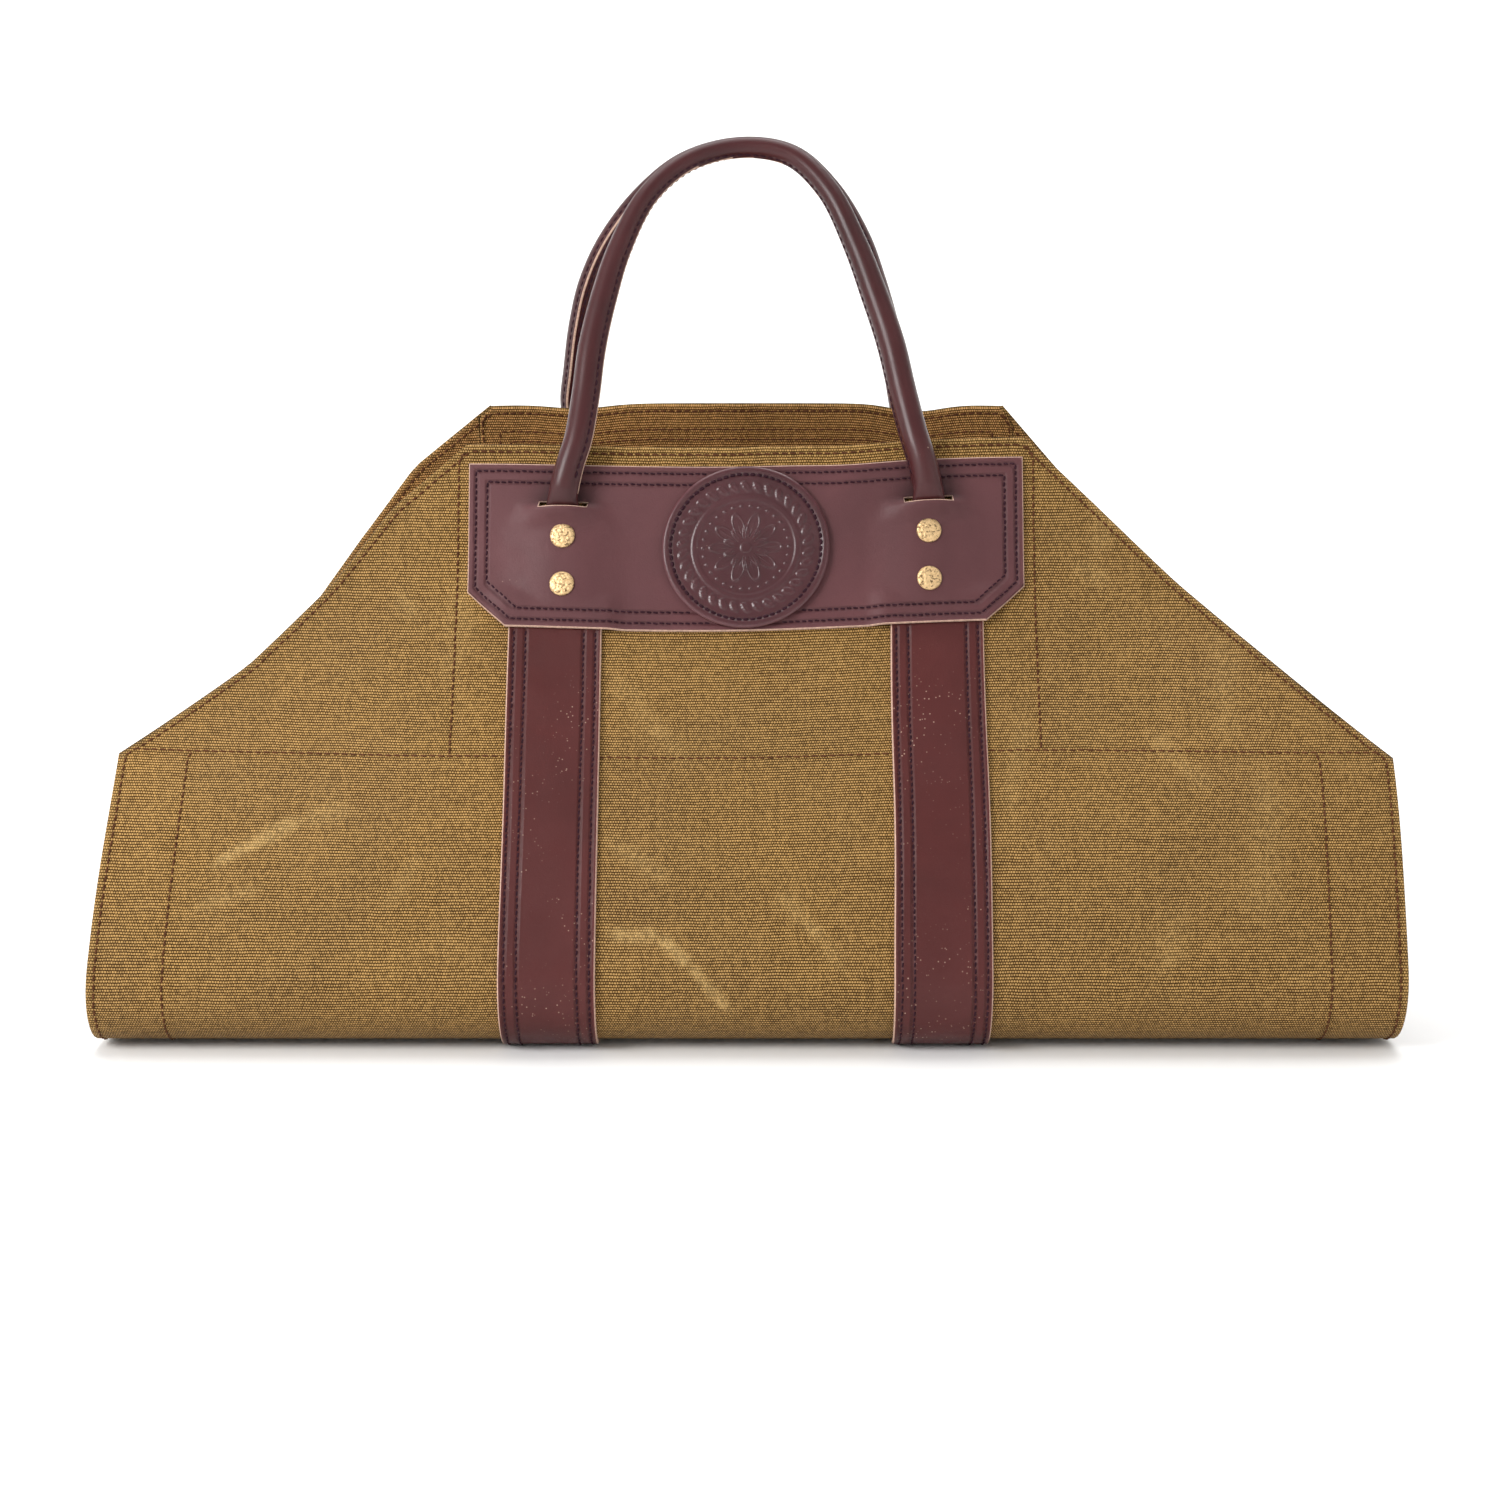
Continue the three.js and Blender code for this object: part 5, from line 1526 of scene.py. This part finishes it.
def handle_frames(shape, panel):
    """Centres, axes and half sizes of a handle's sections, and which are in the open."""
    stations = handle_stations(shape, panel)
    knots = np.array([s[0] for s in stations])
    last = len(stations) - 1
    free_from = len(TAIL_SECTIONS) - 3
    marks = []
    for k in range(last):
        count = OPEN_STEPS if free_from <= k < last - free_from else TAIL_STEPS
        marks.extend((k + part / count) for part in range(count))
    marks = np.array(marks + [last])
    centres = curve_points(knots, marks / last)
    delta = 1e-3
    ahead = curve_points(knots, np.minimum(1, marks / last + delta))
    behind = curve_points(knots, np.maximum(0, marks / last - delta))
    tangents = unit(ahead - behind)
    low = np.minimum(marks.astype(int), last - 1)
    part = (marks - low)[:, None]
    normals = np.array([s[1] for s in stations])
    normals = normals[low] * (1 - part) + normals[low + 1] * part
    sizes = np.array([s[2:] for s in stations])
    halves = sizes[low] * (1 - part) + sizes[low + 1] * part
    wide_axis = unit(np.cross(tangents, normals))
    thick_axis = unit(np.cross(wide_axis, tangents))
    is_round = smooth(0.55, 0.9, halves[:, 1] / halves[:, 0])
    return centres, wide_axis, thick_axis, halves, is_round


def seam_profile(turns, hand_turn, ridge):
    """Radius shares round a section: a round roll whose sewn edges stand up as a low ridge."""
    off = np.degrees(np.angle(np.exp(1j * (turns - math.radians(hand_turn)))))
    bump = np.exp(-np.abs(off / SEAM_WIDE) ** 4)
    groove = np.exp(-((np.abs(off) - SEAM_WIDE * 1.35) / 5.0) ** 2)
    return 1 + ridge * (SEAM_RISE * bump - SEAM_GROOVE * groove)


def handle_stitches(shape, panel):
    """Thread on both sides of a handle's seam."""
    centres, wide_axis, thick_axis, halves, is_round = handle_frames(shape, panel)
    reach = np.concatenate(([0], np.cumsum(np.linalg.norm(np.diff(centres, axis=0), axis=1))))
    whole = is_round > 0.7
    first, last = reach[whole][0] + STITCH_CLEAR, reach[whole][-1] - STITCH_CLEAR
    count = round((last - first) / shape.sizes.stitch_pitch)
    starts = np.linspace(first, last, count, endpoint=False)
    shares = np.linspace(0.1, 0.9, len(STITCH_SHARES))
    marks = starts[:, None] + shares[None, :] * shape.sizes.stitch_pitch

    def along(values):
        return np.stack([np.interp(marks, reach, values[:, k]) for k in range(values.shape[1])],
                        -1)
    middle, wide, thick, half = (along(v) for v in (centres, wide_axis, thick_axis, halves))
    turn = np.radians(np.interp(marks, reach, [seam_turn(panel, c[0], shape) for c in centres]))
    radius = shape.sizes.thread_width / 2
    bodies = []
    for side in (-1, 1):
        angle = turn + side * math.radians(SEAM_WIDE * 1.5)
        normal = unit(wide * np.cos(angle)[..., None] + thick * np.sin(angle)[..., None])
        stand = half[..., :1] + STITCH_LIFTS[None, :, None] * radius
        bodies.append(thread_bodies(middle + normal * stand, normal, radius))
    return merged(bodies)


def build_handles(shape):
    for panel in (FRONT, BACK):
        centres, wide_axis, thick_axis, halves, is_round = handle_frames(shape, panel)
        turns = (np.arange(HANDLE_SIDES) + 0.5) / HANDLE_SIDES * 2 * math.pi
        rings = []
        for k in range(len(centres)):
            seam = seam_turn(panel, centres[k][0], shape)
            radius = seam_profile(turns, seam, is_round[k])
            offset = (wide_axis[k] * (np.cos(turns) * radius * halves[k][0])[:, None]
                      + thick_axis[k] * (np.sin(turns) * radius * halves[k][1])[:, None])
            rings.append(centres[k] + offset)
        points = np.concatenate(rings)
        faces, face_slots = [], []
        for r in range(len(rings) - 1):
            for k in range(HANDLE_SIDES):
                a = r * HANDLE_SIDES + k
                b = r * HANDLE_SIDES + (k + 1) % HANDLE_SIDES
                faces.append((a, a + HANDLE_SIDES, b + HANDLE_SIDES, b))
                seam = seam_turn(panel, centres[r][0], shape)
                middle = (k + 1) % HANDLE_SIDES * 360 / HANDLE_SIDES
                off = abs((middle - seam + 180) % 360 - 180)
                face_slots.append(1 if off < SEAM_STRIP and is_round[r] > 0.5 else 0)
        last = (len(rings) - 1) * HANDLE_SIDES
        faces.append(tuple(range(HANDLE_SIDES)))
        faces.append(tuple(last + k for k in reversed(range(HANDLE_SIDES))))
        face_slots += [1, 1]
        word = SIDE_WORD[panel]
        piece = new_piece(f"rolled_handle_{word}", points, faces,
                          [material_for("handle"), material_for("raw_edge")],
                          replaces=[f"handle_{word}"], slot="handle_leather",
                          face_slots=face_slots)
        reach = np.concatenate(([0], np.cumsum(np.linalg.norm(np.diff(centres, axis=0), axis=1))))
        u = np.tile(turns / (2 * math.pi) * 0.04, len(rings))
        v = np.repeat(reach, HANDLE_SIDES)
        add_coordinates(piece, np.stack((u, v), -1), np.full(len(u), 0.05))


def seam_turn(panel, x, shape):
    """Angle of a handle's seam round its section: inside the loop, facing the mouth."""
    if panel == BACK:
        return SEAM_BACK
    left = float(1 - smooth(-0.6, 0.6, np.asarray(x / shape.handle_x)))
    return SEAM_FRONT + SEAM_FRONT_LEFT * left


# Fastenings
def turned_body(centre, axis, profile, sides):
    """Closed body turned about an axis, from pairs of radius and height."""
    axis = unit(np.asarray(axis, float))
    side_x = unit(np.cross(axis, (0.0, 0.0, 1.0)))
    side_y = np.cross(axis, side_x)
    turns = np.arange(sides) / sides * 2 * math.pi
    rim = side_x * np.cos(turns)[:, None] + side_y * np.sin(turns)[:, None]
    rings = [centre + axis * height + rim * radius for radius, height in profile]
    return np.concatenate(rings), tube_faces(len(rings), sides)


# Rivet head, burr and peened end, as shares of the head's radius and height.
HEAD_PROFILE = ((0.30, -0.9), (0.93, -0.1), (0.99, 0.08), (1.00, 0.30), (0.97, 0.55), (0.90, 0.78),
                (0.76, 0.92), (0.55, 0.99), (0.28, 1.03), (0.06, 1.04))
BURR_PROFILE = ((0.10, -1.05), (0.24, -1.00), (0.30, -0.80), (0.33, -0.62), (0.62, -0.62),
                (0.74, -0.48), (0.76, -0.20), (0.74, 0.02), (0.30, 0.04))


def build_rivets(shape):
    sizes = shape.sizes
    for name, _, _, across, along in shape.rivet_places():
        seat = float(shape.patch_seat(across, along)) + sizes.patch_wall
        axis = shape.normals(across, along)
        radius, height = sizes.rivet_diameter / 2, sizes.rivet_height
        head = turned_body(shape.place(across, along, seat), axis,
                           [(r * radius, h * height) for r, h in HEAD_PROFILE], 40)
        burr = turned_body(shape.place(across, along, shape.facing_inner), axis,
                           [(r * radius, h * height) for r, h in BURR_PROFILE], 32)
        points, faces = merged([head, burr])
        new_piece(f"brass_rivet_{name}", points, faces, [material_for("brass")],
                  replaces=[f"rivet_{name}"], slot="brass")


# Medallion
PETALS, LEAVES, BEADS = 10, 34, 30
BEAD_REACH = 0.515
MEDALLION_SIDES, MEDALLION_RINGS = 288, 96
MEDALLION_SEAM = 0.905
MEDALLION_FOOT = ((1.006, 0.75), (1.0, 0.3), (0.985, 0.0))


def motif_height(share, turn):
    """Embossed design in mm: a double rosette, a ring of beads and a border of slanted leaves."""
    spin = turn * PETALS / 2
    swing = np.abs(np.cos(spin))
    petal_edge = 0.13 + 0.30 * swing**0.8
    petal = smooth(0.018, -0.012, np.abs(share - petal_edge) - 0.006) * smooth(0.07, 0.10, share)
    inner_edge = 0.10 + 0.17 * np.abs(np.sin(spin)) ** 0.8
    inner = smooth(0.018, -0.012, share - inner_edge)
    vein = np.exp(-((np.sin(spin) * share) / 0.010) ** 2) * smooth(0.16, 0.2, share)
    vein = vein * (swing > 0.5) * smooth(0.40, 0.34, share)
    heart = smooth(0.075, 0.055, share)
    local = (turn * LEAVES / (2 * math.pi)) % 1.0 - 0.5
    radial = (share - 0.755) / 0.072
    slant = local + 0.25 * radial
    leaf = smooth(1.0, 0.8, np.sqrt((slant / 0.34) ** 2 + radial**2))
    rib = np.exp(-((slant) / 0.05) ** 2) * (np.abs(radial) < 0.8)
    spot = (turn * BEADS / (2 * math.pi) + 0.5) % 1.0 - 0.5
    bead_x = spot * 2 * math.pi * BEAD_REACH / BEADS
    bead = smooth(1.0, 0.5, np.hypot(bead_x, share - BEAD_REACH) / 0.021)
    tool = 0.05 * np.sin(turn * 96) * np.sin(share * 90) * smooth(0.58, 0.64, share)
    return (0.55 * petal + 0.40 * inner + 0.40 * vein + 0.35 * heart + 0.60 * leaf - 0.40 * rib
            + 0.42 * bead + tool * smooth(0.87, 0.84, share))


def medallion_centre(shape):
    return shape.sizes.patch_drop + shape.sizes.patch_height / 2


def build_medallion(shape):
    sizes = shape.sizes
    radius = sizes.medallion_diameter / 2
    seat = shape.leather_seat + sizes.patch_wall + shape.layer_gap
    around = MEDALLION_SIDES
    shares = np.concatenate((np.linspace(0.01, 0.90, MEDALLION_RINGS),
                             np.linspace(MEDALLION_SEAM, 1.0, 14)))
    turns = np.arange(around) / around * 2 * math.pi
    share, turn = np.meshgrid(shares, turns, indexing="ij")
    height = np.interp(share, MEDALLION_RADII, MEDALLION_HEIGHTS) * sizes.medallion_wall
    height = height + motif_height(share, turn) * MM
    height = height - np.exp(-((share - MEDALLION_SEAM) / 0.022) ** 2) * 0.25 * MM
    side_share = np.stack([np.full(around, s) for s, _ in MEDALLION_FOOT])
    side_height = np.stack([np.full(around, h * sizes.medallion_wall) for _, h in MEDALLION_FOOT])
    share = np.concatenate((share, side_share))
    height = np.concatenate((height, side_height))
    turn = np.concatenate((turn, np.stack([turns] * len(MEDALLION_FOOT))))
    across = radius * share * np.cos(turn)
    down = medallion_centre(shape) + radius * share * np.sin(turn)
    along = shape.panel_along(FRONT, down)
    points = shape.place(across, along, seat + height).reshape(-1, 3)
    piece = new_piece("leather_medallion", points, tube_faces(len(share), around),
                      [material_for("medallion")], replaces=["medallion"],
                      slot="patch_leather")
    uvs = np.stack((across.ravel(), along.ravel()), -1)
    edge = np.abs(1 - share.ravel()) * radius
    add_coordinates(piece, uvs, edge)


def medallion_stitches(shape):
    sizes = shape.sizes
    radius = sizes.medallion_diameter / 2 * MEDALLION_SEAM
    turns = np.linspace(0, 2 * math.pi, 240)
    path = panel_path(shape, FRONT, radius * np.cos(turns),
                      medallion_centre(shape) + radius * np.sin(turns))
    seat = shape.leather_seat + sizes.patch_wall + shape.layer_gap + 0.82 * sizes.medallion_wall
    return stitch_bodies(shape, [path], seat + 0.15 * MM, thickness=1.35, seed=9, pitch=0.78)


def build_stitching(shape):
    sizes = shape.sizes
    canvas = material_for("thread")
    leather = material_for("leather_thread")
    paths = canvas_stitch_paths(shape)
    under_patch = (shape.sizes.patch_width / 2, sizes.patch_drop, shape.patch_foot)

    def hidden(places):
        """Under a patch or a strap."""
        down = shape.half_length - np.abs(places[:, 1])
        in_patch = ((np.abs(places[:, 0]) < under_patch[0]) & (down > under_patch[1])
                    & (down < under_patch[2]))
        off_strap = np.abs(np.abs(places[:, 0]) - shape.strap_centre)
        return in_patch | ((off_strap < sizes.strap_width / 2) & (down > shape.strap_start))

    outside = stitch_bodies(shape, paths, shape.canvas_outer, skip=hidden, seed=2)
    new_piece("thread_canvas_outside", *outside, [canvas], slot="canvas")
    inside = stitch_bodies(shape, paths, shape.facing_inner, side=-1, seed=3)
    new_piece("thread_canvas_inside", *inside, [canvas], slot="canvas")
    round_medallion = sizes.medallion_diameter / 2 + 1 * MM

    def under_medallion(places):
        down = shape.half_length - np.abs(places[:, 1])
        away = np.hypot(places[:, 0], down - medallion_centre(shape))
        return (away < round_medallion) & (places[:, 1] < 0)

    for panel in (FRONT, BACK):
        word = SIDE_WORD[panel]
        rows = patch_stitch_paths(shape, panel)
        outer = stitch_bodies(shape, rows, patch_surface(shape), skip=under_medallion, seed=4,
                              thickness=0.85, pitch=LEATHER_PITCH)
        inner = stitch_bodies(shape, rows, shape.facing_inner, side=-1, seed=5)
        new_piece(f"thread_patch_{word}", *outer, [leather], slot="patch_leather")
        new_piece(f"thread_patch_{word}_inside", *inner, [canvas], slot="canvas")
    for hand in (LEFT, RIGHT):
        word = HAND_WORD[hand]
        rows = strap_stitch_paths(shape, hand)
        outer = stitch_bodies(shape, rows, shape.strap_outer - 0.1 * MM, seed=6,
                              thickness=0.85, pitch=LEATHER_PITCH)
        new_piece(f"thread_strap_{word}", *outer, [leather], slot="strap_leather")

        def inner_face(across, along):
            down = shape.half_length - np.abs(along)
            return np.where(down < sizes.corner_cut_height, shape.facing_inner,
                            -shape.canvas_outer)
        inner = stitch_bodies(shape, rows, inner_face, side=-1, seed=7)
        new_piece(f"thread_strap_{word}_inside", *inner, [canvas], slot="canvas")
    for panel in (FRONT, BACK):
        new_piece(f"thread_handle_{SIDE_WORD[panel]}", *handle_stitches(shape, panel), [leather],
                  slot="handle_leather")
    new_piece("thread_medallion", *medallion_stitches(shape), [leather],
              slot="patch_leather")


# Stage
def area_light(name, place, target, size, energy):
    data = bpy.data.lights.new(name, "AREA")
    data.shape = "RECTANGLE"
    data.size, data.size_y = size
    data.energy = energy
    light = bpy.data.objects.new(name, data)
    bpy.context.scene.collection.objects.link(light)
    light.location = place
    light.rotation_euler = (Vector(target) - Vector(place)).to_track_quat("-Z", "Y").to_euler()


CAMERA_PLACE = (0.002, -1.2388, 0.3192)
CAMERA_PITCH = 9.19
CAMERA_LENS = 58.0

# Round backdrop: radius, height and the radius of the turn from the floor.
BOWL_RADIUS, BOWL_RISE, BOWL_TURN = 3.6, 2.6, 1.4
BOWL_SIDES = 96
WORLD_STRENGTH = 0.46

# Lights: name, place, aim, size and watts.
LOOK_AT = (0.0, 0.0, 0.22)
LIGHTS = (
    ("key", (-1.7, -1.5, 1.3), LOOK_AT, (1.1, 1.1), 52.0),
    ("fill", (1.7, -1.5, 0.8), LOOK_AT, (1.2, 1.2), 2.0),
    ("overhead", (0.0, 0.2, 2.4), (0.0, 0.1, 0.0), (2.4, 1.8), 30.0),
    ("backdrop", (0.0, 1.0, 2.6), (0.0, 3.0, 0.9), (3.0, 1.0), 70.0),
)


def build_stage(colours):
    data = bpy.data.cameras.new("Camera")
    data.sensor_width = 36.0
    data.lens = CAMERA_LENS
    camera = bpy.data.objects.new("Camera", data)
    camera.location = CAMERA_PLACE
    camera.rotation_euler = (math.radians(90 - CAMERA_PITCH), 0.0, 0.0)
    bpy.context.scene.collection.objects.link(camera)
    bpy.context.scene.camera = camera

    inner, sides = BOWL_RADIUS - BOWL_TURN, BOWL_SIDES
    profile = [(inner + BOWL_TURN * math.sin(a), BOWL_TURN - BOWL_TURN * math.cos(a))
               for a in np.linspace(0, math.pi / 2, 14)] + [(BOWL_RADIUS, BOWL_RISE)]
    points = [(0.0, 0.0, 0.0)]
    for out, up in profile:
        points += [(out * math.cos(a), out * math.sin(a), up)
                   for a in np.arange(sides) / sides * 2 * math.pi]
    faces = [(0, 1 + k, 1 + (k + 1) % sides) for k in range(sides)]
    for ring in range(len(profile) - 1):
        for k in range(sides):
            low, high = 1 + ring * sides + k, 1 + ring * sides + (k + 1) % sides
            faces.append((low, low + sides, high + sides, high))
    mesh = bpy.data.meshes.new("stage")
    mesh.from_pydata(points, [], faces)
    mesh.polygons.foreach_set("use_smooth", [True] * len(mesh.polygons))
    material, n, shader = new_material("Stage paper", 0.9, Specular_IOR_Level=0.15)
    grain = n.noise(n.place(), 900.0, 3.0)
    tone = tuple(colours.stage)
    n.link(n.mix(grain, tuple(c * 0.985 for c in tone), tone), shader.inputs["Base Color"])
    mesh.materials.append(material)
    stage = bpy.data.objects.new("stage", mesh)
    bpy.context.scene.collection.objects.link(stage)

    world = bpy.data.worlds.new("Studio")
    bpy.context.scene.world = world
    world.use_nodes = True
    background = world.node_tree.nodes["Background"]
    background.inputs[0].default_value = (1.0, 1.0, 1.0, 1.0)
    background.inputs[1].default_value = WORLD_STRENGTH
    for light in LIGHTS:
        area_light(*light)
    bpy.context.scene.view_settings.view_transform = "Standard"


# Operators
class PieceOperator:
    """Runs the build function of one group of pieces."""

    def execute(self, context):
        self.build(CarrierShape(context.scene.log_carrier_sizes))
        return {"FINISHED"}


class BuildStage(bpy.types.Operator):
    """Build the pale stage, its soft lights and the camera"""

    bl_idname = "log_carrier.stage"
    bl_label = "Stage, Lights and Camera"

    def execute(self, context):
        build_stage(context.scene.log_carrier_colours)
        return {"FINISHED"}


class BuildCanvas(PieceOperator, bpy.types.Operator):
    """Build the long waxed canvas that forms the bottom and both panels"""

    bl_idname = "log_carrier.canvas"
    bl_label = "Canvas"
    build = staticmethod(build_canvas)


class BuildFacings(PieceOperator, bpy.types.Operator):
    """Build the facings inside the top of each panel and its slanted corners"""

    bl_idname = "log_carrier.facings"
    bl_label = "Facings"
    build = staticmethod(build_facings)


class BuildHems(PieceOperator, bpy.types.Operator):
    """Build the hems along the two sides"""

    bl_idname = "log_carrier.hems"
    bl_label = "Side Hems"
    build = staticmethod(build_hems)


class BuildStraps(PieceOperator, bpy.types.Operator):
    """Build the two leather straps that run under the load"""

    bl_idname = "log_carrier.straps"
    bl_label = "Straps"
    build = staticmethod(build_straps)


class BuildPatches(PieceOperator, bpy.types.Operator):
    """Build the leather patches that carry the handles"""

    bl_idname = "log_carrier.patches"
    bl_label = "Handle Patches"
    build = staticmethod(build_patches)


class BuildHandles(PieceOperator, bpy.types.Operator):
    """Build the two rolled leather handles"""

    bl_idname = "log_carrier.handles"
    bl_label = "Rolled Handles"
    build = staticmethod(build_handles)


class BuildRivets(PieceOperator, bpy.types.Operator):
    """Build the brass rivets through the patches and handle tails"""

    bl_idname = "log_carrier.rivets"
    bl_label = "Rivets"
    build = staticmethod(build_rivets)


class BuildMedallion(PieceOperator, bpy.types.Operator):
    """Build the round embossed medallion"""

    bl_idname = "log_carrier.medallion"
    bl_label = "Medallion"
    build = staticmethod(build_medallion)


class BuildStitching(PieceOperator, bpy.types.Operator):
    """Sew the canvas, patches, straps and medallion"""

    bl_idname = "log_carrier.stitching"
    bl_label = "Stitching"
    build = staticmethod(build_stitching)


class LogCarrierPanel(bpy.types.Panel):
    """Sizes, colours and pieces of the log carrier"""

    bl_idname = "VIEW3D_PT_log_carrier"
    bl_label = "Log Carrier"
    bl_space_type = "VIEW_3D"
    bl_region_type = "UI"
    bl_category = "Log Carrier"

    def draw(self, context):
        layout = self.layout
        scene = context.scene
        for title, group in (("Sizes", scene.log_carrier_sizes),
                             ("Colours", scene.log_carrier_colours)):
            box = layout.box()
            box.label(text=title)
            for name in group.__annotations__:
                box.prop(group, name)
        column = layout.column(align=True)
        for operator in OPERATORS:
            column.operator(operator.bl_idname)


OPERATORS = (
    BuildStage, BuildCanvas, BuildFacings, BuildHems, BuildStraps, BuildPatches, BuildHandles,
    BuildRivets, BuildMedallion, BuildStitching,
)
CLASSES = (LogCarrierSizes, LogCarrierColours, *OPERATORS, LogCarrierPanel)


def register():
    for cls in CLASSES:
        bpy.utils.register_class(cls)
    bpy.types.Scene.log_carrier_sizes = bpy.props.PointerProperty(type=LogCarrierSizes)
    bpy.types.Scene.log_carrier_colours = bpy.props.PointerProperty(type=LogCarrierColours)


def unregister():
    del bpy.types.Scene.log_carrier_colours
    del bpy.types.Scene.log_carrier_sizes
    for cls in reversed(CLASSES):
        bpy.utils.unregister_class(cls)


def main():
    register()
    for operator in OPERATORS:
        getattr(bpy.ops.log_carrier, operator.bl_idname.split(".")[1])()


if __name__ == "__main__":
    main()
